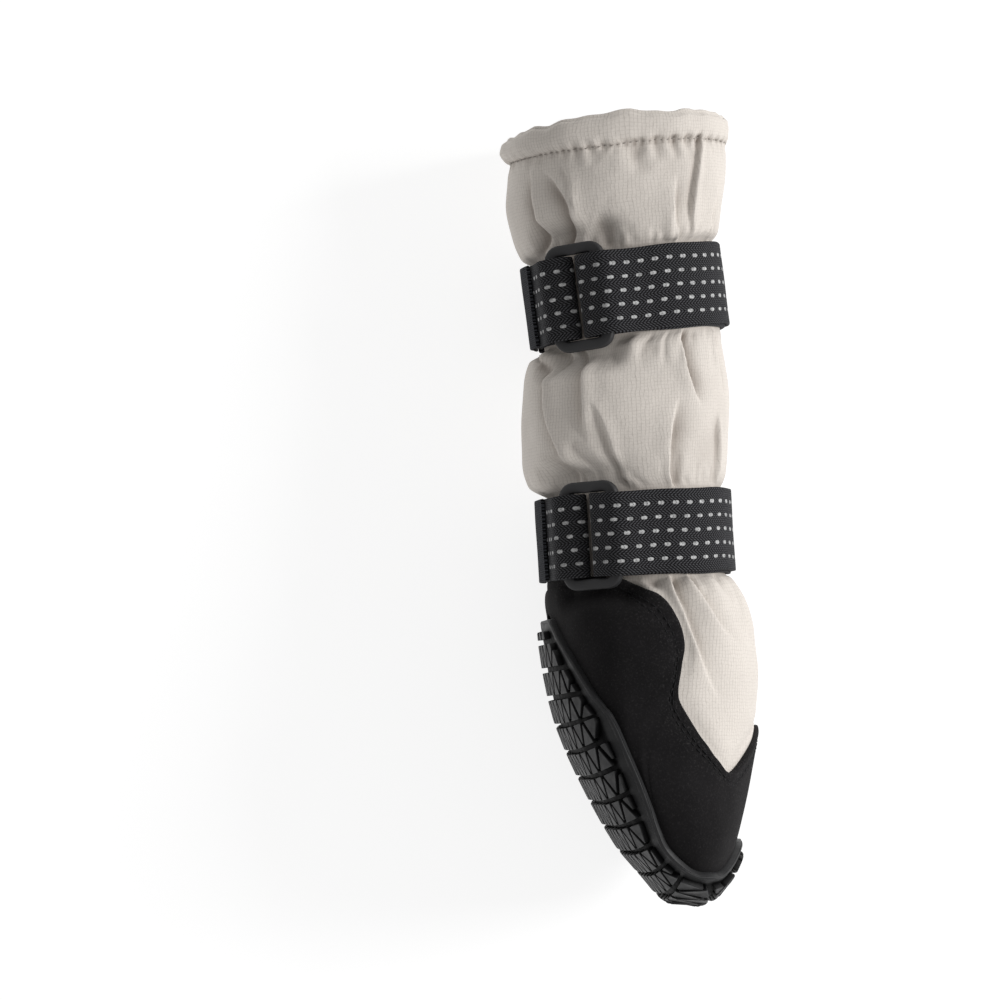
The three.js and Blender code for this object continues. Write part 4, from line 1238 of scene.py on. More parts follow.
@dataclass
class Folds:
    """The fabric's folds: how far each point of the skin stands in or out."""

    skin: Skin
    edges: Edges
    seed: int = 7
    radius: float = Edges.CHART_RADIUS
    # The hidden side's folds are the right side's, shallower and moved a little.
    hidden_depth: float = 0.8
    hidden_shift: tuple[float, float] = (0.09, -1.4)
    lip: float = 0.42
    lip_width: float = 0.55
    wall_width: float = 0.85
    pucker: float = 0.22
    pucker_reach: float = 2.4
    pucker_count: int = 43
    hem_calm: float = 0.55
    hem_wave: float = 0.3
    foot_puff: float = 0.7
    strap_calm: float = 2.4
    deepest: float = 4.2
    highest: float = 2.2
    # Painted shade: how dark the folds' valleys and the fabric beside the straps are painted.
    valley_shade: float = 0.85
    strap_shade: float = 0.4
    strap_shade_reach: float = 1.6
    lines: list[tuple[float, float, float, Array]] = field(default_factory=list)

    # Rise of the hem's top edge over the collar, by turn in degrees.
    HEM_RISE = (
        (-180, -1.9), (-120, -0.6), (-60, -0.6), (0, -1.4), (28, -0.9), (52, 0.3), (62, -0.5),
        (69, -0.3), (87, 1.1), (110, 0.5), (130, -0.8), (141, -0.5), (150, -1.5), (180, -1.9),
    )
    # The padding's unevenness: waves round, rate up the shaft, phase, size.
    WAVES = (
        (2, 0.061, 0.5, 0.45), (3, -0.083, 1.9, 0.35), (5, 0.117, 4.2, 0.25),
        (7, -0.171, 2.7, 0.16), (4, 0.29, 0.3, 0.13),
    )

    def __post_init__(self) -> None:
        """Gathers the creases as lines of turn and height."""
        for crease in CREASES:
            places = np.array([self.skin.turn_at(x, y) for x, y in crease.line])
            self._add(crease.depth, crease.width, crease.side, places)
            mirrored = places * [-1, 1] + self.hidden_shift
            self._add(self.hidden_depth * crease.depth, crease.width, -crease.side, mirrored)
        for crease in FRONT_CREASES:
            self._add(crease.depth, crease.width, crease.side, np.array(crease.line) * [DEGREE, 1])
        self._gather(random.Random(self.seed))

    def _add(self, depth: float, width: float, side: float, places: Array) -> None:
        """Adds one crease."""
        line = catmull(places, np.linspace(0, 1, 4 * (len(places) - 1) + 1)) * [self.radius, 1]
        self.lines.append((depth, width, side, line))

    def _gather(self, dice: random.Random) -> None:
        """Adds the small tucks where the straps and the hem gather the fabric.

        Args:
            dice: Seeded numbers.
        """
        s = self.skin.sizes
        rows = [
            (s.lower_strap.at - s.waist_half, -1, 15.0),
            (s.lower_strap.at + s.waist_half, 1, 11.0),
            (s.upper_strap.at - s.waist_half, -1, 11.0),
            (s.upper_strap.at + s.waist_half, 1, 9.0),
            (s.hem_seam, -1, 6.0),
        ]
        for start, way, reach in rows:
            turn = -180.0 + dice.uniform(0, 6)
            while turn < 180:
                length = reach * dice.uniform(0.35, 1.15)
                bend = dice.uniform(-5, 5)
                line = [(turn + bend * share, start + way * length * share) for share in (0, 0.5, 1)]
                self._add(dice.uniform(0.1, 0.42), dice.uniform(0.8, 1.6), 0, np.array(line) * [DEGREE, 1])
                turn += dice.uniform(5.0, 12.0)

    def _wave(self, turn: Array, height: Array) -> Array:
        """Soft unevenness of the padding.

        Args:
            turn: Turns in radians.
            height: Heights.

        Returns:
            Heights in millimetres.
        """
        return sum(
            size * np.sin(count * turn + rate * height + phase) for count, rate, phase, size in self.WAVES
        )

    def height(self, y: Array, phi: Array) -> Array:
        """How far the fabric stands out of the skin.

        Args:
            y: Heights.
            phi: Turns in radians, from -pi to pi.

        Returns:
            Distances in millimetres.
        """
        s = self.skin.sizes
        seam = s.hem_seam
        points = np.stack([phi * self.radius, y], axis=-1)
        total = self._wave(phi, y)
        for depth, width, side, line in self.lines:
            for wrap in (-2 * math.pi, 0.0, 2 * math.pi):
                shifted = line + [wrap * self.radius, 0]
                total += self._one(points, shifted, depth, width, side)
        near_seam = np.exp(-(((y - seam) / self.pucker_reach) ** 2))
        total += near_seam * self.pucker * np.sin(phi * self.pucker_count + 1.3 * np.sin(3 * phi))
        hem = smoothstep(y, seam, seam + s.hem_height / 2)
        total = total * (1 - self.hem_calm * hem)
        total += hem * self.hem_wave * np.sin(9 * phi + 1.1) * np.sin(4 * phi)
        over = self.edges.over_top(np.abs(phi), y)
        total += self.foot_puff * smoothstep(over, 0.5, 6) * (1 - smoothstep(y, 92, 100))
        total *= smoothstep(over, 0.4, 3.5)
        for strap in s.straps:
            total *= smoothstep(np.abs(y - strap.at), s.waist_half - 0.3, s.waist_half + self.strap_calm)
            press = self.skin.ring_press(strap, y, phi)
            total = np.minimum(total, total * (1 - press))
        return np.clip(total, -self.deepest, self.highest)

    def shade(self, y: Array, phi: Array, out: Array) -> Array:
        """Painted shade: how much darker the fabric is painted in its valleys and beside the straps, and
        along the hem's seam, where it is partly painted shade and partly the seam's own dark stitch holes.

        Args:
            y: Heights.
            phi: Turns in radians.
            out: How far the fabric stands out of the skin.

        Returns:
            Numbers from 0 to 1.
        """
        s = self.skin.sizes
        total = self.valley_shade * smoothstep(-out, 0.2, 2.8)
        for strap in s.straps:
            past = np.maximum(np.abs(y - strap.at) - s.waist_half, 0)
            total = total + self.strap_shade * np.exp(-past / self.strap_shade_reach)
        seam = np.exp(-(((y - s.hem_seam) / 0.65) ** 2))
        total = total + seam * (0.35 + 0.3 * np.sin(phi * self.radius * math.pi))
        return np.clip(total, 0, 1)

    def rise(self, y: Array, phi: Array) -> Array:
        """How far the hem stands up over its even height.

        Args:
            y: Heights.
            phi: Turns in radians, from -pi to pi.

        Returns:
            Distances in millimetres.
        """
        s = self.skin.sizes
        turns, rises = np.array(self.HEM_RISE).T
        share = smoothstep(y, s.hem_seam, s.collar_at)
        return share * (np.interp(phi / DEGREE, turns, rises) + 0.35 * np.sin(17 * phi) * np.sin(5 * phi))

    def _one(self, points: Array, line: Array, depth: float, width: float, side: float) -> Array:
        """One crease's height at each point.

        Args:
            points: Chart places.
            line: The crease's chart line.
            depth: Its depth.
            width: Its width.
            side: Which side of the line its valley is on, or 0.

        Returns:
            Heights in millimetres.
        """
        reach = 4.5 * width
        low, high = line.min(axis=0) - reach, line.max(axis=0) + reach
        near = np.all((points >= low) & (points <= high), axis=-1)
        result = np.zeros(points.shape[:-1])
        if not near.any():
            return result
        p = points[near]
        best = np.full(len(p), 1e9)
        place, away = np.zeros(len(p)), np.zeros(len(p))
        count = len(line) - 1
        for i in range(count):
            way = line[i + 1] - line[i]
            t = np.clip(((p - line[i]) @ way) / (way @ way), 0, 1)
            gap = p - line[i] - t[:, None] * way
            distance = np.linalg.norm(gap, axis=1)
            closer = distance < best
            place = np.where(closer, (i + t) / count, place)
            away = np.where(closer, -gap[:, 0], away)
            best = np.minimum(best, distance)
        fade = smoothstep(1 - place, 0, 0.42)
        spread = width * (0.75 + 0.5 * place)
        if side == 0:
            trough = np.exp(-((best / spread) ** 2))
            shoulder = np.exp(-(((best - 2.1 * spread) / (1.1 * spread)) ** 2))
            result[near] = depth * fade * (0.3 * shoulder - trough)
            return result
        out = best * np.where(away * side >= 0, 1.0, -1.0)
        lip = np.exp(-((out / np.where(out < 0, 1.1 * spread, self.lip_width)) ** 2))
        wall = 1 - np.exp(-((np.maximum(out, 0) / self.wall_width) ** 2))
        valley = wall * np.exp(-((np.maximum(out, 0) / (1.35 * spread)) ** 1.6))
        result[near] = depth * fade * (self.lip * lip - valley)
        return result


@dataclass
class Upper:
    """The padded fabric shaft and foot, with its hem and its lining."""

    skin: Skin
    edges: Edges
    right_sides: int = 234
    left_sides: int = 92
    lining_sides: int = 120
    fine_row: float = 0.58
    covered_row: float = 2.4
    toe_row: float = 2.5
    lowest_fabric: float = 38.0
    foot_tuck: float = 0.85
    strap_tuck: float = 0.45
    lining_row: float = 2.6
    lining_follow: float = 0.5
    lining_clear: float = 1.2
    hem_steps: int = 7
    hem_round: float = 0.45
    folds: Folds = field(init=False)

    # Rows close to the toe's tip, as shares of the toe's round.
    TIP_ROWS = (0.0, 0.004, 0.02, 0.06, 0.13, 0.25, 0.42, 0.65)

    def __post_init__(self) -> None:
        """Makes the folds."""
        self.folds = Folds(self.skin, self.edges)

    def _heights(self) -> Array:
        """Heights of the rows, close together where the fabric shows and a little under the straps.

        Returns:
            The heights.
        """
        s = self.skin.sizes
        low, high, reach = s.lower_strap.at, s.upper_strap.at, s.waist_half - self.strap_tuck
        ends = [s.toe_tip + 20, self.lowest_fabric, s.zone("foot")[1] + self.foot_tuck]
        ends += [low + reach, high - reach, high + reach, s.collar_at]
        shown, covered = self.fine_row, self.covered_row
        steps = (self.toe_row, shown, covered, shown, covered, shown)
        rows = [np.arange(*span) for span in zip(ends, ends[1:], steps)]
        return np.concatenate([s.toe_tip + s.toe_round * np.array(self.TIP_ROWS), *rows, [s.collar_at]])

    def _turns(self, left: int, right: int) -> Array:
        """Turns of the columns, from the back seam round the left side and then the right one."""
        left_side = np.linspace(-math.pi, 0, left + 1)[:-1]
        return np.concatenate([left_side, np.linspace(0, math.pi, right + 1)[:-1]])

    def _texture(self, turns: Array, along: Array) -> Array:
        """Texture places in millimetres, with the seam's column at both ends."""
        return texture_grid(np.append(turns, math.pi) * Edges.CHART_RADIUS, along)

    def build(self, fabric: Material, lining: Material) -> None:
        """Builds the upper's outside and the lining inside it."""
        self._outside(fabric)
        self._lining(lining)

    def _outside(self, fabric: Material) -> None:
        """Builds the folded outside with its rolled hem.

        Args:
            fabric: Its material.
        """
        s = self.skin.sizes
        piece = Piece("upper_padded")
        rows, columns = self._heights(), self._turns(self.left_sides, self.right_sides)
        y, phi = np.meshgrid(rows, columns, indexing="ij")
        out = self.folds.height(y, phi)
        cover = np.where(y < s.zone("foot")[1], s.suede_face, 0.0)
        covered = self.edges.over_top(np.abs(phi), y) < 0.5
        points = self.skin.point(y, phi) + self.skin.normal(y, phi) * out[..., None]
        points[..., 1] += self.folds.rise(y, phi)
        points = self.skin.over_floor(points, np.where(covered, cover, 0.0))
        piece.add_grid(points, self._texture(columns, rows), closed=True, flip=True)
        # Painted shade of the folds' valleys, of the fabric beside the straps and of the hem's seam.
        piece.shades.append(self.folds.shade(y, phi, out).ravel())
        top, outward = points[-1], self.skin.normal(y[-1], phi[-1])
        steps = np.linspace(0, math.pi, self.hem_steps)
        inwards = outward * ((np.cos(steps) - 1) * s.upper_wall / 2)[:, None, None]
        upwards = np.array([0, 1, 0]) * (np.sin(steps) * s.upper_wall * self.hem_round)[:, None, None]
        roll = top + inwards + upwards
        piece.add_grid(roll, self._texture(columns, s.collar_at + steps), closed=True, flip=True)
        piece.shades.append(np.zeros(roll.shape[0] * roll.shape[1]))
        piece.build(fabric, Slot.FABRIC, "upper")

    def _lining(self, lining: Material) -> None:
        """Builds the lining, which follows the folds softly.

        Args:
            lining: Its material.
        """
        s = self.skin.sizes
        piece = Piece("upper_lining")
        middle = np.arange(s.toe_tip + 5, s.collar_at - 2, self.lining_row)
        rows = np.concatenate([[s.toe_tip + 0.4, s.toe_tip + 2.5], middle, [s.collar_at - 0.2]])
        columns = self._turns(self.lining_sides // 2, self.lining_sides // 2)
        y, phi = np.meshgrid(rows, columns, indexing="ij")
        out = self.folds.height(y, phi)
        followed = np.clip(out, -2.5, 0.5) * self.lining_follow
        out = np.minimum(followed, out + self.lining_clear) - s.upper_wall
        inside = self.skin.point(y, phi) + self.skin.normal(y, phi) * out[..., None]
        inside[..., 1] += self.folds.rise(y, phi)
        inside = self.skin.over_floor(inside, s.suede_face + s.upper_wall)
        piece.add_grid(inside, self._texture(columns, rows), closed=True)
        piece.build(lining, Slot.FABRIC, "upper")

    def stitch(self, thread: Material) -> None:
        """Lays the stitches of the hem's seam.

        Args:
            thread: The thread's material.
        """
        s = self.skin.sizes
        stitches = Stitches(Piece("hem_stitches"), length=1.25, gap=0.75, radius=0.19)
        phi = np.linspace(-math.pi, math.pi, 720)
        y = np.full_like(phi, s.hem_seam + 0.15)
        out = self.folds.height(y, phi)
        normals = self.skin.normal(y, phi)
        line = self.skin.point(y, phi) + normals * (out + 0.12)[:, None]
        line[:, 1] += self.folds.rise(y, phi)
        stitches.run(line, normals)
        stitches.piece.build(thread, Slot.FABRIC)


@dataclass
class Stitches:
    """Short stitches laid along lines."""

    piece: Piece
    length: float
    gap: float
    radius: float
    sides: int = 6

    def run(self, line: Array, normals: Array) -> None:
        """Lays stitches along a line.

        Args:
            line: The line's points.
            normals: Outward normals at the points.
        """
        lengths = lengths_along(line)
        start = self.gap / 2
        while start + self.length < lengths[-1]:
            a, b = columns_at(np.array([start, start + self.length]), lengths, line)
            normal = columns_at(np.array([start + self.length / 2]), lengths, normals)[0]
            self._one(a, b, unit(normal))
            start += self.length + self.gap

    def _one(self, a: Array, b: Array, normal: Array) -> None:
        """One stitch, a bowed capsule from a to b.

        Args:
            a: Where it starts.
            b: Where it ends.
            normal: The way out.
        """
        shares = np.array([0.0, 0.14, 0.5, 0.86, 1.0])
        rises = np.array([-1.0, 0.15, 0.5, 0.15, -1.0]) * self.radius
        thickness = np.array([0.35, 0.9, 1.0, 0.9, 0.35]) * self.radius
        side = unit(np.cross(b - a, normal))
        angles = np.linspace(0, 2 * math.pi, self.sides + 1)[:-1, None]
        circle = np.cos(angles) * side + np.sin(angles) * normal
        spine = a + (b - a) * shares[:, None] + normal * rises[:, None]
        rings = spine[:, None, :] + thickness[:, None, None] * circle
        run = shares * float(np.linalg.norm(b - a))
        uv = texture_grid(np.linspace(0, 1, self.sides + 1), run)[..., ::-1]
        self.piece.add_grid(rings, uv, closed=True)


@dataclass
class Rand:
    """The suede band round the foot."""

    skin: Skin
    edges: Edges
    columns: int = 220
    rows: int = 46
    edge_band: float = 0.7
    ripple: float = 0.13
    slow_ripple: float = 0.1
    seam_inset: float = 3.4
    seam_depth: float = 0.3
    seam_width: float = 0.9
    stitch_insets: tuple[float, float] = (2.8, 4.1)
    stitch_sink: float = 0.16
    stitched_share: float = 0.86

    def _lines(self, places: Array, side: Array) -> tuple[Array, Array, Array]:
        """Top and low ends of the band, and its height, at places round it.

        Args:
            places: Places from the toe to the heel.
            side: 1 for the right side and -1 for the left.

        Returns:
            Top ends, low ends and lengths in millimetres.
        """
        s = self.skin.sizes
        top, rim = self.edges.top(places), self.edges.rim(places)
        span = self.skin.point(top[:, 1], top[:, 0]) - self.skin.point(rim[:, 1], rim[:, 0])
        length = np.linalg.norm(span, axis=1)
        low = rim - (top - rim) * (s.rand_tuck / np.maximum(length, s.rand_tuck))[:, None]
        mirror = np.stack([side, np.ones_like(side)], axis=1)
        return top * mirror, low * mirror, length + s.rand_tuck

    def surface(self, places: Array, side: Array, from_top: Array, offset: Array) -> Array:
        """Points of the band.

        Args:
            places: Places from the toe to the heel, one a column.
            side: 1 or -1 for each column.
            from_top: Distances down from the top edge, rows by columns.
            offset: How far out of the skin, rows by columns.

        Returns:
            Points, rows by columns by 3.
        """
        top, low, length = self._lines(places, side)
        share = np.clip(from_top / length, -0.02, 1)[..., None]
        at = top + (low - top) * share
        return self.skin.lifted(at[..., 1], at[..., 0], offset, self.skin.sizes.suede_face - offset)

    def build(self, suede: Material) -> None:
        """Builds the band.

        Args:
            suede: Its material.
        """
        piece = Piece("rand_suede")
        right = np.linspace(0, 1, self.columns)
        places = np.concatenate([right, right[-2:0:-1]])
        side = np.concatenate([np.ones(self.columns), -np.ones(self.columns - 2)])
        length = self._lines(places, side)[2]
        outer = self.skin.sizes.suede_face
        edge = np.array([(0.25, 0.1), (0.0, 0.45 * outer), (0.05, 0.8 * outer), (0.35, 0.97 * outer)])
        shares = np.linspace(0, 1, self.rows)[:, None]
        edge_down, edge_lift = (np.broadcast_to(edge[:, k, None], (len(edge), len(places))) for k in (0, 1))
        down = np.vstack([edge_down, self.edge_band + (length - self.edge_band) * shares])
        lift = np.vstack([edge_lift, np.full((self.rows, len(places)), outer)])
        run = lengths_along(self.surface(places, side, down[-20:-19], lift[-20:-19])[0])
        ripple = self.ripple * np.sin(run / 7.3 + down / 5) * np.sin(run / 3.1 - down / 9 + 2)
        ripple += self.slow_ripple * np.sin(run / 12)
        seam = self.seam_depth * np.exp(-(((down - self.seam_inset) / self.seam_width) ** 2))
        seam *= smoothstep(length, 6.0, 12.0)
        lift = lift + np.where(down > 0.5, ripple * smoothstep(length - down, 1, 6) - seam, 0.0)
        points = self.surface(places, side, down, lift)
        across = np.broadcast_to(np.append(run, run[-1] + 0.8), (len(down), len(run) + 1))
        uv = np.stack([across, np.concatenate([down, down[:, :1]], axis=1)], axis=-1)
        piece.add_grid(points, uv, closed=True)
        piece.build(suede, Slot.SUEDE, "rand")

    def stitch(self, thread: Material) -> None:
        """Lays the double row of stitches inside the top edge.

        Args:
            thread: The thread's material.
        """
        outer = self.skin.sizes.suede_face
        stitches = Stitches(Piece("rand_stitches"), length=1.9, gap=0.7, radius=0.2)
        places = np.linspace(0, self.stitched_share, 300)
        for inset in self.stitch_insets:
            down = np.full((1, len(places)), inset)
            for way in (1.0, -1.0):
                side = np.full(len(places), way)
                line = self.surface(places, side, down, np.full_like(down, outer - self.stitch_sink))[0]
                above = self.surface(places, side, down, np.full_like(down, outer + 1.0))[0]
                stitches.run(line, unit(above - line))
        stitches.piece.build(thread, Slot.SUEDE)


@dataclass
class SoleChart:
    """The outsole's two coordinates: a place along it and a distance out from its middle line."""

    skin: Skin
    edges: Edges

    def __post_init__(self) -> None:
        """Measures the sole on planes across it."""
        skin, edges, s = self.skin, self.edges, self.skin.sizes
        angle = s.sole_angle * DEGREE
        self.tread = np.array([math.cos(angle), -math.sin(angle), 0.0])
        self.down = np.array([-math.sin(angle), -math.cos(angle), 0.0])
        origins, directions = self._planes()
        middle = skin.cast(origins, directions)
        place = lengths_along(middle)
        kept = edges.below_rim(*skin.under(middle))
        self.origins, self.directions, self.places = origins[kept], directions[kept], place[kept]
        self.rim_turn = self._rim_turn()
        shares = np.linspace(0, 1, 33)
        psi = self.rim_turn[:, None] * shares[None, :]
        line = self._hit(self.origins[:, None], self.directions[:, None], psi)
        steps = np.linalg.norm(np.diff(line, axis=1), axis=2)
        self.girth = np.concatenate([np.zeros((len(steps), 1)), np.cumsum(steps, axis=1)], axis=1)
        self.half = self.girth[:, -1]
        self.start, self.end = self.places[0], self.places[-1]
        ball = skin.cast(*[value[None] for value in self._row((self.start + self.end) * 0.45)])[0]
        self.level = ball @ self.down + s.sole_wall + s.lug_height - s.tread_press

    def _planes(self) -> tuple[Array, Array]:
        """Origins and directions of the planes across the sole, from the heel to the toe's front.

        Returns:
            The origins and the directions.
        """
        s = self.skin.sizes
        low, high = s.zone("foot")
        toe = np.array([s.toe_tip_x - s.keel_inset, s.toe_tip + s.toe_round, 0.0])
        ball = toe - 0.4 * (high - low) * self.tread
        sole_turn, heel_turn = s.sole_angle * DEGREE, s.heel_angle * DEGREE
        heel_way = np.array([-math.cos(heel_turn), math.sin(heel_turn), 0.0])
        step, turn_step = 1.5, -2 * DEGREE
        keel = float(np.linalg.norm(toe - ball))
        rows = [(ball + heel_way * run, heel_turn) for run in np.arange(0.3 * (high - low), 0, -step)]
        rows += [(ball, angle) for angle in np.arange(heel_turn, sole_turn, turn_step)]
        rows += [(ball + self.tread * run, sole_turn) for run in np.arange(0, keel, step)]
        rows += [(toe, angle) for angle in np.arange(sole_turn, -110 * DEGREE, turn_step)]
        origins = np.array([origin for origin, _ in rows])
        return origins, np.array([[-math.sin(angle), -math.cos(angle), 0.0] for _, angle in rows])

    def _hit(self, origins: Array, directions: Array, psi: Array) -> Array:
        """Where rays turned by psi out of the middle plane meet the skin.

        Args:
            origins: Where the rays start.
            directions: Directions in the middle plane.
            psi: Turns out of it.

        Returns:
            The points met.
        """
        side = np.array([0.0, 0.0, 1.0])
        ray = directions * np.cos(psi)[..., None] + side * np.sin(psi)[..., None]
        return self.skin.cast(np.broadcast_to(origins, ray.shape), ray)

    def _rim_turn(self) -> Array:
        """The turn at which each plane meets the rim.

        Returns:
            Turns in radians, one a plane.
        """
        low = np.zeros(len(self.places))
        high = np.full(len(self.places), 88 * DEGREE)
        for _ in range(16):
            psi = (low + high) / 2
            inside = self.edges.below_rim(*self.skin.under(self._hit(self.origins, self.directions, psi)))
            low, high = np.where(inside, psi, low), np.where(inside, high, psi)
        return low

    def _row(self, place: Array) -> tuple[Array, Array]:
        """The plane at a place: its origin and direction."""
        origin = columns_at(place, self.places, self.origins)
        return origin, unit(columns_at(place, self.places, self.directions))

    def half_at(self, place: Array) -> Array:
        """Distance from the middle line to the rim at places."""
        return np.interp(place, self.places, self.half)

    def point(self, place: Array, out: Array, lift: Array) -> Array:
        """Points over the sole.

        Args:
            place: Places along it.
            out: Distances from its middle line.
            lift: Heights off the skin.

        Returns:
            Points in the boot's frame.
        """
        place, out, lift = np.broadcast_arrays(*(np.asarray(v, float) for v in (place, out, lift)))
        origin, direction = self._row(place)
        half = self.half_at(place)
        reach = np.minimum(np.abs(out), half)
        i = np.clip(np.searchsorted(self.places, place, side="left"), 1, len(self.places) - 1)
        t = np.clip((place - self.places[i - 1]) / (self.places[i] - self.places[i - 1]), 0, 1)
        girth = self.girth[i - 1] * (1 - t)[..., None] + self.girth[i] * t[..., None]
        over = np.sum(girth[..., 1:-1] < reach[..., None], axis=-1)
        a = np.take_along_axis(girth, over[..., None], axis=-1)[..., 0]
        b = np.take_along_axis(girth, over[..., None] + 1, axis=-1)[..., 0]
        share = (over + np.clip((reach - a) / np.maximum(b - a, 1e-6), 0, 1)) / (girth.shape[-1] - 1)
        psi = np.interp(place, self.places, self.rim_turn) * share * np.sign(out)
        hit = self._hit(origin, direction, psi)
        return self.skin.over_floor(hit + self.skin.gradient(hit) * lift[..., None], 0.0)

    def flattened(self, points: Array) -> Array:
        """Points kept within the tread's level."""
        past = np.maximum(points @ self.down - self.level, 0)
        return points - past[..., None] * self.down

    def rim(self, step: float) -> Array:
        """The rim as a closed polygon of places and distances out.

        Args:
            step: Distance between its corners.

        Returns:
            The corners, wound the same way as the tread's cells.
        """
        right = np.vstack([[self.start, 0], np.stack([self.places, self.half], axis=1), [self.end, 0]])
        half = even_steps(right, step)
        back = half[1:-1] * [1, -1]
        return np.vstack([back, half[::-1]])


@dataclass
class Outsole:
    """The wrapped rubber outsole: its ground, its lugs, and the lip along its rim."""

    chart: SoleChart
    rim_step: float = 2.0
    lip_step: float = 0.8
    corner_round: float = 0.4
    ground_rows: int = 110
    ground_columns: int = 91
    sizes: BootSizes = field(init=False)
    rim: Array = field(init=False)

    # A cell's corners in shares of the row and the base: apex up, then apex down.
    CELLS = (((1, 0.5), (0, 1), (0, 0)), ((0, 1), (1, 0.5), (1, 1.5)))

    def __post_init__(self) -> None:
        """Reads the rim from the chart."""
        self.sizes = self.chart.skin.sizes
        self.rim = self.chart.rim(self.rim_step)

    def _to_rim(self, p: Array) -> float:
        """Distance from a place of the sole to the rim, below 0 outside it.

        Args:
            p: The place.

        Returns:
            The distance.
        """
        c = self.chart
        if p[0] <= c.start or p[0] >= c.end or abs(p[1]) >= c.half_at(p[0]):
            return -1.0
        a, b = self.rim, np.roll(self.rim, -1, axis=0)
        way = b - a
        t = np.clip(np.sum((p - a) * way, axis=1) / np.maximum(np.sum(way * way, axis=1), 1e-9), 0, 1)
        return float(np.min(np.linalg.norm(p - a - t[:, None] * way, axis=1)))

    def _outline(self, corners: Array) -> Optional[Array]:
        """A lug's outline cut back to the smooth band, or None if too little is left.

        Args:
            corners: The cell's corners, the one off the cross groove first.

        Returns:
            The outline.
        """
        s = self.sizes
        centre = corners.mean(axis=0)
        shrunk = corners + (centre - corners) * (3 * s.lug_groove / 2 / s.lug_pitch)
        shrunk[1:] += (shrunk[0] - shrunk[1:]) * (s.lug_step / s.lug_pitch)
        kept: list[Array] = []
        inset = [self._to_rim(p) - s.smooth_band for p in shrunk]
        for i, p in enumerate(shrunk):
            q, a, b = shrunk[(i + 1) % 3], inset[i], inset[(i + 1) % 3]
            if a >= 0:
                kept.append(p)
            if (a >= 0) != (b >= 0):
                kept.append(p + (q - p) * (a / (a - b)))
        if len(kept) < 3:
            return None
        outline = np.array(kept)
        area = 0.5 * abs(doubled_area(outline))
        return outline if area > s.lug_base * s.lug_pitch / 16 else None

    def _lugs(self) -> list[Array]:
        """Outlines of all the lugs, in rows from the toe to the heel.

        Returns:
            The outlines.
        """
        s, c = self.sizes, self.chart
        rows = math.ceil((c.end - c.start) / s.lug_pitch) + 1
        across = math.ceil(s.foot_width / s.lug_base)
        found: list[Array] = []
        for row in range(rows):
            low = c.end - s.rim_band / 2 - row * s.lug_pitch
            shift = 0 if row % 2 == 0 else s.lug_base / 2
            for i in range(-across, across + 1):
                for cell in self.CELLS:
                    places = np.array(cell) * [s.lug_pitch, s.lug_base]
                    outline = self._outline(places + [low, i * s.lug_base + shift])
                    if outline is not None:
                        found.append(outline)
        return found

    @staticmethod
    def _rounded(outline: Array, radius: float) -> Array:
        """An outline with its corners rounded.

        Args:
            outline: The corners.
            radius: How far from a corner the round starts.

        Returns:
            The rounded outline.
        """
        points: list[Array] = []
        for before, corner, after in zip(np.roll(outline, 1, axis=0), outline, np.roll(outline, -1, axis=0)):
            reach = [min(radius, 0.4 * float(np.linalg.norm(end - corner))) for end in (before, after)]
            a, b = corner + unit(before - corner) * reach[0], corner + unit(after - corner) * reach[1]
            points += [a, (a + 2 * corner + b) / 4, b]
        return np.array(points)

    def build(self, rubber: Material) -> None:
        """Builds the outsole.

        Args:
            rubber: Its material.
        """
        piece = Piece("outsole_lugged")
        self._add_ground(piece)
        self._add_lip(piece)
        for outline in self._lugs():
            self._add_lug(piece, outline)
        piece.build(rubber, Slot.RUBBER, "outsole")

    def _add_lug(self, piece: Piece, outline: Array) -> None:
        """Adds one lug with a soft top edge.

        Args:
            piece: The piece to add to.
            outline: The lug's outline.
        """
        s = self.sizes
        top = s.lug_height
        growth = np.array([0.2, 0.0, -0.06, -0.14, -0.34])
        lifts = s.sole_wall + np.array([-0.25, 0.15, top - 0.2, top - 0.05, top])
        centre = outline.mean(axis=0)
        ring = self._rounded(outline, self.corner_round)
        places = ring + unit(ring - centre) * growth[:, None, None]
        points = self.chart.point(places[..., 0], places[..., 1], lifts[:, None])
        points[2:] = self.chart.flattened(points[2:])
        turned_over = doubled_area(outline) < 0
        piece.add_grid(points, np.concatenate([places, places[:, :1]], axis=1), closed=True, flip=turned_over)
        # Painted shade on the lug's lower walls, fading out towards its top.
        piece.shades.append(np.repeat([1.0, 1.0, 0.6, 0.0, 0.0], len(ring)))
        face = points[-1][::-1] if turned_over else points[-1]
        piece.add_fan(points[-1].mean(axis=0), face, np.vstack([centre[None], ring]))
        piece.shades.append(np.zeros(len(ring) + 1))

    def _add_ground(self, piece: Piece) -> None:
        """Adds the tread's ground between the lugs.

        Args:
            piece: The piece to add to.
        """
        c, band = self.chart, self.sizes.smooth_band
        places = np.linspace(c.start, c.end, self.ground_rows)
        shares = np.linspace(-1, 1, self.ground_columns)
        out = c.half_at(places)[:, None] * shares[None, :]
        place = np.broadcast_to(places[:, None], out.shape)
        points = c.point(place, out, self.sizes.sole_wall)
        piece.add_grid(points, np.stack([place, out], axis=-1), closed=False)
        from_ends = np.minimum(place - c.start, c.end - place)
        inset = np.minimum(c.half_at(places)[:, None] - np.abs(out), from_ends)
        # Painted shade on the ground between the lugs, none on the smooth band by the rim.
        piece.shades.append(smoothstep(inset, band - 0.8, band + 0.8).ravel())

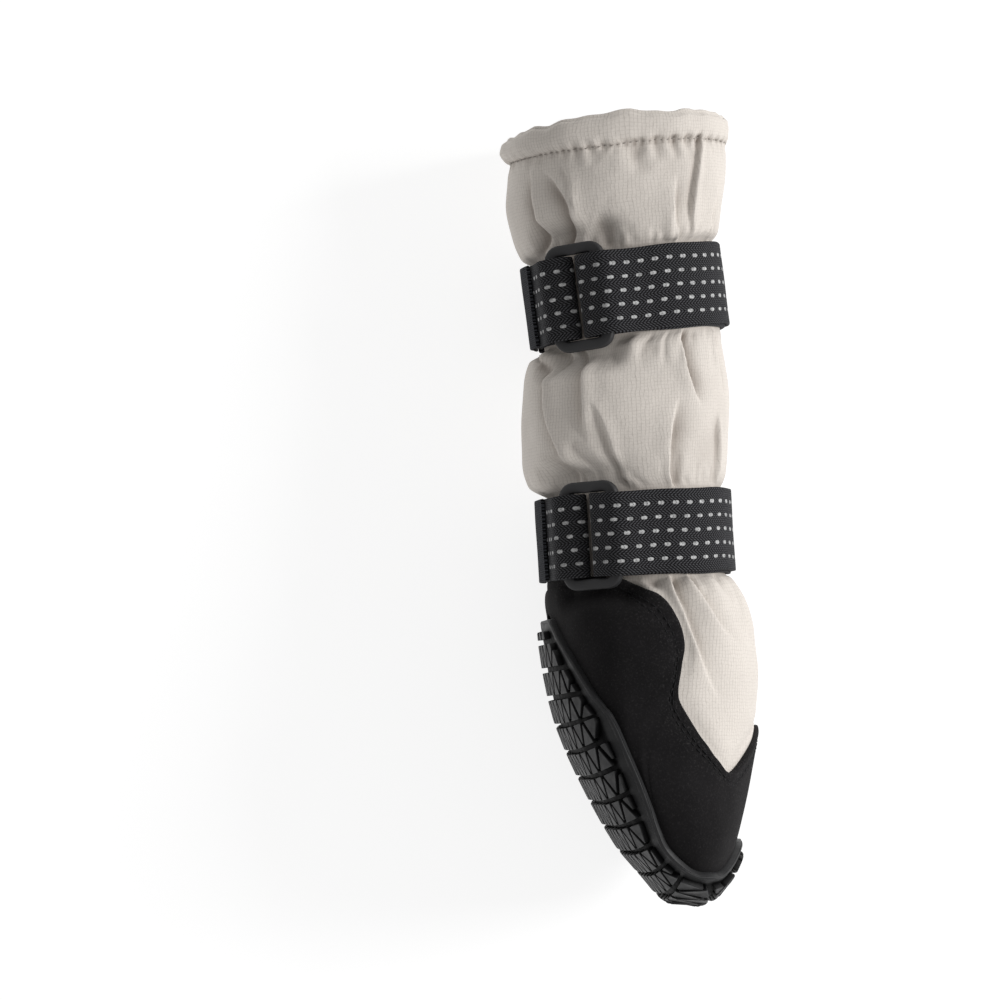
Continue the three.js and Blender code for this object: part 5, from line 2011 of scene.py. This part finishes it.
    def _add_lip(self, piece: Piece) -> None:
        """Adds the rounded bead along the rim, down to the suede.

        Args:
            piece: The piece to add to.
        """
        c, s = self.chart, self.sizes
        rim = even_steps(np.vstack([self.rim, self.rim[:1]]), self.lip_step)[:-1]
        for _ in range(4):
            rim = (np.roll(rim, 1, axis=0) + 2 * rim + np.roll(rim, -1, axis=0)) / 4
        way = unit(np.roll(rim, -1, axis=0) - np.roll(rim, 1, axis=0))
        inward = np.stack([-way[:, 1], way[:, 0]], axis=1)
        if np.sum((rim - rim.mean(axis=0)) * inward) > 0:
            inward = -inward
        wall = s.sole_wall
        profile = (
            (1.5, wall - 0.1), (1.15, wall + 0.02), (1.0, wall + 0.2), (0.8, wall + 0.34),
            (0.5, wall + 0.36), (0.25, wall + 0.22), (0.1, wall - 0.1), (0.05, wall - 0.7),
            (0.05, wall - 1.4), (0.05, wall - 2.2), (0.3, 0.9),
        )
        places = np.stack([rim + inward * inset for inset, _ in profile])
        lifts = np.stack([np.full(len(rim), lift) for _, lift in profile])
        points = c.point(np.clip(places[..., 0], c.start, c.end), places[..., 1], lifts)
        uv = np.concatenate([places, places[:, :1]], axis=1)
        piece.add_grid(points, uv, closed=True, flip=doubled_area(rim) > 0)
        piece.shades.append(np.zeros(len(profile) * len(rim)))


@dataclass
class StrapPlane:
    """A strap's own plane: across the boot and out to the side, with the webbing's width along the shaft."""

    strap: StrapSizes
    sizes: BootSizes

    def __post_init__(self) -> None:
        """Finds the strap's directions and its ring's bars."""
        strap, sizes = self.strap, self.sizes
        lean = strap.lean * DEGREE
        self.forward = np.array([math.cos(lean), math.sin(lean), 0.0])
        self.up = np.array([-math.sin(lean), math.cos(lean), 0.0])
        self.side = np.array([0.0, 0.0, 1.0])
        self.origin = np.array([strap.centre, strap.at, 0.0]) + self.up * sizes.webbing_width / 2
        self.first_layer = sizes.fit + sizes.webbing
        self.second_layer = self.first_layer + sizes.webbing
        turn = (sizes.rear_bar - sizes.front_bar) / 2 * DEGREE
        lift = self.first_layer + sizes.fit + sizes.ring_thickness / 2 + sizes.ring_bar / 2 * math.sin(turn)
        self.front = self.at(sizes.front_bar, lift)
        self.rear = self.at(sizes.rear_bar, lift)
        self.across = unit(self.front - self.rear)
        self.outward = np.array([-self.across[1], self.across[0]])

    def at(self, turn: Array | float, offset: Array | float) -> Array:
        """Points round the waist.

        Args:
            turn: Turns in degrees.
            offset: Distances off the fabric.

        Returns:
            Points of the plane.
        """
        angle = np.asarray(turn, float) * DEGREE
        way = unit(self._oval(angle + 0.02) - self._oval(angle - 0.02))
        out = np.stack([way[..., 1], -way[..., 0]], axis=-1)
        return self._oval(angle) + out * np.asarray(offset, float)[..., None]

    def _oval(self, angle: Array) -> Array:
        """Points of the waist's own outline at angles in radians.

        Args:
            angle: The angles.

        Returns:
            Points of the plane.
        """
        strap, power = self.strap, 2 / self.sizes.shaft_power
        reach = strap.depth / 2 / math.cos(strap.lean * DEGREE)
        across = signed_power(np.cos(angle), power) * reach
        return np.stack([across, signed_power(np.sin(angle), power) * strap.width / 2], axis=-1)

    def beside(self, bar: Array, inwards: float, rise: float) -> Array:
        """A point beside a ring's bar."""
        return bar + self.across * inwards + self.outward * rise

    def fold(self, front: bool, reach: float, off: float) -> Array:
        """The webbing's way round a ring's bar, from above the bar to the skin.

        Args:
            front: Whether it is the front bar.
            reach: How far the fold reaches past the bar.
            off: Distance off the bar.

        Returns:
            Points of the plane.
        """
        s = self.sizes
        top = s.ring_thickness / 2 + off
        slack = reach - (s.webbing + s.fit - off)
        sign = -1.0 if front else 1.0
        bar = self.front if front else self.rear
        start = self.beside(bar, sign * (-s.ring_bar / 2 - s.fit), top)
        rows = ((0.6, 1.0), (0.85, 0.75), (0.97, 0.25), (1.0, -0.3))
        round_bar = [self.beside(bar, sign * along * slack, rise * top) for along, rise in rows]
        return np.array([start, *round_bar])

    def space(self, points: Array, down: Array | float) -> Array:
        """Points of the plane in the boot's frame."""
        flat = points[..., :1] * self.forward + points[..., 1:2] * self.side
        return self.origin + flat - np.asarray(down)[..., None] * self.up


@dataclass
class Webbing:
    """A ribbon of webbing along a path in a strap's plane."""

    name: str
    plane: StrapPlane
    thickness: float
    seed: int
    shift: Optional[Callable[[Array], Array]] = None
    columns: int = 12
    edge: float = 0.45

    def _section(self) -> tuple[Array, Array]:
        """The ribbon's outline: distances down its width, and lifts off its middle.

        Returns:
            The distances and the lifts.
        """
        width, half, corner = self.plane.sizes.webbing_width, self.thickness / 2, 0.12
        across = np.linspace(self.edge, width - self.edge, self.columns)
        low_end = [width - corner, width, width - corner]
        downs = np.concatenate([across, low_end, across[::-1], [corner, 0.0, corner]])
        face, ends = np.full(self.columns, half), np.array([half * 0.8, 0, -half * 0.8])
        return downs, np.concatenate([face, ends, -face, -ends])

    def build(self, path: Array, material: Material, replaced: str) -> None:
        """Sweeps the ribbon.

        Args:
            path: The middle line in the strap's plane.
            material: The ribbon's material.
            replaced: The solid that it stands for.
        """
        s = self.plane.sizes
        line = even_steps(catmull(path, np.linspace(0, 1, 12 * len(path))), 1.0)
        run = lengths_along(line)
        way = unit(np.gradient(line, axis=0))
        out = np.stack([way[:, 1], -way[:, 0]], axis=1)
        downs, lifts = self._section()
        place = run[:, None]
        wave = 0.1 * np.sin(place / 5.1 + downs / 6 + self.seed) + 0.07 * np.sin(place / 2.3 - downs / 3)
        lift = lifts * 0.96 + wave * 0.5
        down = np.broadcast_to(downs, lift.shape) + (self.shift(run)[:, None] if self.shift else 0.0)
        down = down + 0.12 * np.sin(run / 3.7 + self.seed)[:, None]
        points = self.plane.space(line[:, None, :] + out[:, None, :] * lift[..., None], down)
        piece = Piece(self.name)
        uv = texture_grid(np.append(downs, downs[0]), run)[..., ::-1]
        piece.add_grid(points, uv, closed=True)
        for end, order in ((0, 1), (-1, -1)):
            ring = points[end][::order]
            places = uv[end][:-1][::order]
            piece.add_fan(ring.mean(axis=0), ring, np.vstack([[run[end], s.webbing_width / 2], places]))
        piece.build(material, Slot.WEBBING, replaced)


@dataclass
class Fastening:
    """One strap with its ring, keeper and tab."""

    strap: StrapSizes
    sizes: BootSizes
    plane: StrapPlane = field(init=False)

    def __post_init__(self) -> None:
        """Finds the strap's plane."""
        self.plane = StrapPlane(self.strap, self.sizes)

    def _strap_path(self) -> Array:
        """The strap's middle line: round the waist, up through the ring and back on itself.

        Returns:
            Points of the plane.
        """
        s, p = self.sizes, self.plane
        under, over = s.fit + s.webbing / 2, p.first_layer + s.webbing / 2 + 0.04
        turn = s.strap_reach / float(np.linalg.norm(p.at(s.front_bar, 0))) / DEGREE
        inner = p.at(np.arange(s.seam_half / 2 - s.back_seam, s.front_bar + turn - 4, 6.0), under)
        fold = p.fold(True, s.strap_reach, s.fit + s.webbing / 2)[::-1]
        rise = p.at(s.front_bar - 15, over + s.webbing * 0.8)[None]
        outer = p.at(np.arange(s.front_bar - 24, s.tail_end, -6.0), over)
        return np.vstack([inner, fold, rise, outer])

    def _strap_shift(self, run: Array) -> Array:
        """The under layer hangs a little lower than the layer over it.

        Args:
            run: Lengths along the strap.

        Returns:
            How far down each part hangs.
        """
        s = self.sizes
        turn_at = run[-1] * (s.front_bar + s.back_seam) / (s.front_bar * 2 + s.back_seam - s.tail_end)
        away = smoothstep(np.abs(run - turn_at), 12, 40)
        return away * np.where(run < turn_at, 0.55, -0.2)

    def _keeper_path(self) -> Array:
        """The keeper's middle line: from the back seam round the ring's rear bar and back.

        Returns:
            Points of the plane.
        """
        s, p = self.sizes, self.plane
        turn = s.keeper_reach / float(np.linalg.norm(p.at(s.rear_bar, 0))) / DEGREE
        under = p.at(np.arange(s.back_seam - 2, s.rear_bar - turn + 5, -6.0), s.fit + s.webbing / 2)
        fold = p.fold(False, s.keeper_reach, s.fit + s.webbing / 2)[::-1]
        rise = p.at(s.back_seam - 23, p.first_layer + s.webbing)[None]
        ends = s.back_seam - np.array([s.seam_half, 10, 2])
        over = p.at(ends, p.first_layer + s.webbing / 2)
        return np.vstack([under, fold, rise, over])

    def _tab_path(self) -> Array:
        """The tab's middle line over the back seam.

        Returns:
            Points of the plane.
        """
        s, p = self.sizes, self.plane
        high = p.second_layer + s.fit + s.tab_thickness / 2
        low = p.first_layer + s.fit + s.tab_thickness / 2
        turns = s.back_seam + np.array([-1.0, -0.6, -0.2, 0.24, 0.6, 1.0]) * s.seam_half
        return p.at(turns, np.array([high, high, high, low, low, low]))

    def build(
        self, webbing: Material, ribbed: Material, plastic: Material
    ) -> None:
        """Builds the strap, keeper, tab and ring.

        Args:
            webbing: The dashed webbing.
            ribbed: The tab's webbing.
            plastic: The ring's plastic.
        """
        thick, thin = self.sizes.webbing, self.sizes.tab_thickness
        ribbons = (
            ("strap_", self._strap_path(), thick, webbing, 1, self._strap_shift),
            ("keeper_", self._keeper_path(), thick, webbing, 3, None),
            ("tab_", self._tab_path(), thin, ribbed, 5, None),
        )
        for kind, path, thickness, material, seed, shift in ribbons:
            solid = kind + self.strap.name
            Webbing(solid + "_webbing", self.plane, thickness, seed, shift).build(path, material, solid)
        self._ring(plastic)

    def _ring(self, plastic: Material) -> None:
        """Builds the ring as a rounded bar swept round a rounded rectangle.

        Args:
            plastic: Its material.
        """
        s, p = self.sizes, self.plane
        length = s.webbing_width + 2 * s.fit + s.ring_bar
        width = float(np.linalg.norm(p.front - p.rear))
        radius = s.ring_corner - s.ring_bar / 2
        corners = ((1, -1, -90), (1, 1, 0), (-1, 1, 90), (-1, -1, 180))
        line = []
        for sx, sy, start in corners:
            centre = np.array([sx * (width / 2 - radius), sy * (length / 2 - radius)])
            angles = (start + np.linspace(0, 90, 9)) * DEGREE
            line.append(centre + radius * np.stack([np.cos(angles), np.sin(angles)], axis=1))
        path = even_steps(np.vstack(line + [line[0][:1]]), 0.8)[:-1]
        way = unit(np.roll(path, -1, axis=0) - np.roll(path, 1, axis=0))
        out = np.stack([way[:, 1], -way[:, 0]], axis=1)
        angles = np.linspace(0, 2 * math.pi, 17)[:-1]
        squareness = 2 / 4.5
        wide = signed_power(np.cos(angles), squareness) * s.ring_bar / 2
        high = signed_power(np.sin(angles), squareness) * s.ring_thickness / 2
        forward = p.across[0] * p.forward + p.across[1] * p.side
        outward = np.cross(forward, p.up)
        middle = p.space((p.front + p.rear) / 2, s.webbing_width / 2)
        flat = path[:, None, :] + out[:, None, :] * wide[None, :, None]
        points = middle + flat[..., :1] * forward + flat[..., 1:] * p.up + high[None, :, None] * outward
        uv = np.zeros((len(points) + 1, len(angles) + 1, 2))
        piece = Piece("ring_" + self.strap.name + "_bar")
        points = np.concatenate([points, points[:1]], axis=0)
        piece.add_grid(points, uv, closed=True, flip=True)
        piece.build(plastic, Slot.PLASTIC, "ring_" + self.strap.name)


@dataclass
class Insole:
    """The felt insole, which is the frame's own solid with soft edges."""

    solid: bpy.types.Object
    soft_edge_m: float = 0.0006

    def build(self, felt: Material) -> None:
        """Gives the solid its felt and soft edges.

        Args:
            felt: Its material.
        """
        self.solid.data.materials.clear()
        self.solid.data.materials.append(felt)
        bevel = self.solid.modifiers.new("soft_edges", "BEVEL")
        bevel.width, bevel.segments, bevel.limit_method = self.soft_edge_m, 2, "ANGLE"
        LOG.info("insole: felt")


@dataclass(frozen=True)
class Studio:
    """The pale floor, the soft lights and the camera."""

    view_distance: float = 1.5
    view_height: float = 0.301
    target: tuple[float, float, float] = (-41.1, 123.2, 15.0)
    tilt_to_toe: float = 3.0
    tilt_to_sole: float = 5.0
    film_width: float = 36.0
    floor_size: float = 8.0
    floor_colour: Colour = (0.32, 0.32, 0.32)
    floor_glow: float = 0.8
    sky: float = 0.4
    # Each light: its name, place in metres, width and power in watts.
    lights: tuple[tuple[str, tuple[float, float, float], float, float], ...] = (
        ("key", (1.3, 0.25, 0.75), 0.6, 21.0),
        ("toe", (-0.5, -1.3, 0.9), 0.9, 3.0),
    )

    def build(self) -> None:
        """Sets the floor, the lights, the world and the camera."""
        self._floor()
        self._world()
        for light in self.lights:
            self._light(*light)
        self._camera()

    def _floor(self) -> None:
        """A wide pale plane."""
        bpy.ops.mesh.primitive_plane_add(size=self.floor_size)
        floor = bpy.context.object
        floor.name = "studio_floor"
        n = Nodes("studio_white", 0.9)
        n.colour(self.floor_colour)
        n.specular(0.1)
        n.feed(n.shader.inputs["Emission Color"], (1.0, 1.0, 1.0))
        n.feed(n.shader.inputs["Emission Strength"], self.floor_glow)
        floor.data.materials.append(n.material)

    def _world(self) -> None:
        """Even white light from all round."""
        world = bpy.data.worlds.new("studio_world")
        bpy.context.scene.world = world
        world.use_nodes = True
        background = world.node_tree.nodes["Background"]
        background.inputs[0].default_value = (1.0, 1.0, 1.0, 1.0)
        background.inputs[1].default_value = self.sky
        bpy.context.scene.view_settings.view_transform = "Standard"

    def _light(self, name: str, place: tuple[float, float, float], size: float, power: float) -> None:
        """One soft light aimed at the boot.

        Args:
            name: The light's name.
            place: Where it stands, in metres.
            size: Its width.
            power: Its power in watts.
        """
        data = bpy.data.lights.new(name, "AREA")
        data.size, data.energy = size, power
        light = bpy.data.objects.new(name, data)
        light.location = place
        light.rotation_euler = (-Vector(place)).to_track_quat("-Z", "Y").to_euler()
        bpy.context.scene.collection.objects.link(light)

    def _camera(self) -> None:
        """A long lens near straight over the boot, with the shaft up the picture."""
        data = bpy.data.cameras.new("camera")
        data.sensor_width = self.film_width
        data.lens = self.film_width * self.view_distance / self.view_height
        away = np.array([-math.tan(self.tilt_to_sole * DEGREE), -math.tan(self.tilt_to_toe * DEGREE), 1.0])
        away = turned(unit(away))
        target = laid(np.array(self.target))
        right = unit(np.cross(turned(np.array([0.0, 1.0, 0.0])), away))
        up = np.cross(away, right)
        place = target + away * self.view_distance
        camera = bpy.data.objects.new("camera", data)
        rotation = Matrix((right, up, away)).transposed().to_4x4()
        camera.matrix_world = Matrix.Translation(Vector(place)) @ rotation
        bpy.context.scene.collection.objects.link(camera)
        bpy.context.scene.camera = camera


def main() -> None:
    """Builds every piece in order."""
    logging.basicConfig(level=logging.INFO, format="%(name)s %(message)s")
    Studio().build()
    skin = Skin(SIZES)
    edges = Edges(SIZES)
    webbing = WebbingFinish().material()
    ribbed = WebbingFinish(name="ribbed_webbing", rows=0, colour=(0.009, 0.0095, 0.011)).material()
    plastic = PlasticFinish().material()
    thread = ThreadFinish("dark_thread", (0.014, 0.014, 0.015)).material()
    lining = FleeceFinish("lining_fleece", (0.42, 0.39, 0.36)).material()
    felt = FleeceFinish("insole_felt", (0.06, 0.06, 0.065), 500.0).material()
    upper = Upper(skin, edges)
    upper.build(RipstopFinish().material(), lining)
    upper.stitch(ThreadFinish("pale_thread", (0.36, 0.33, 0.3)).material())
    rand = Rand(skin, edges)
    rand.build(SuedeFinish().material())
    rand.stitch(thread)
    Outsole(SoleChart(skin, edges)).build(RubberFinish().material())
    for strap in SIZES.straps:
        Fastening(strap, SIZES).build(webbing, ribbed, plastic)
    Insole(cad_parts["insole"]).build(felt)
    LOG.info("size written")


if __name__ == "__main__":
    main()
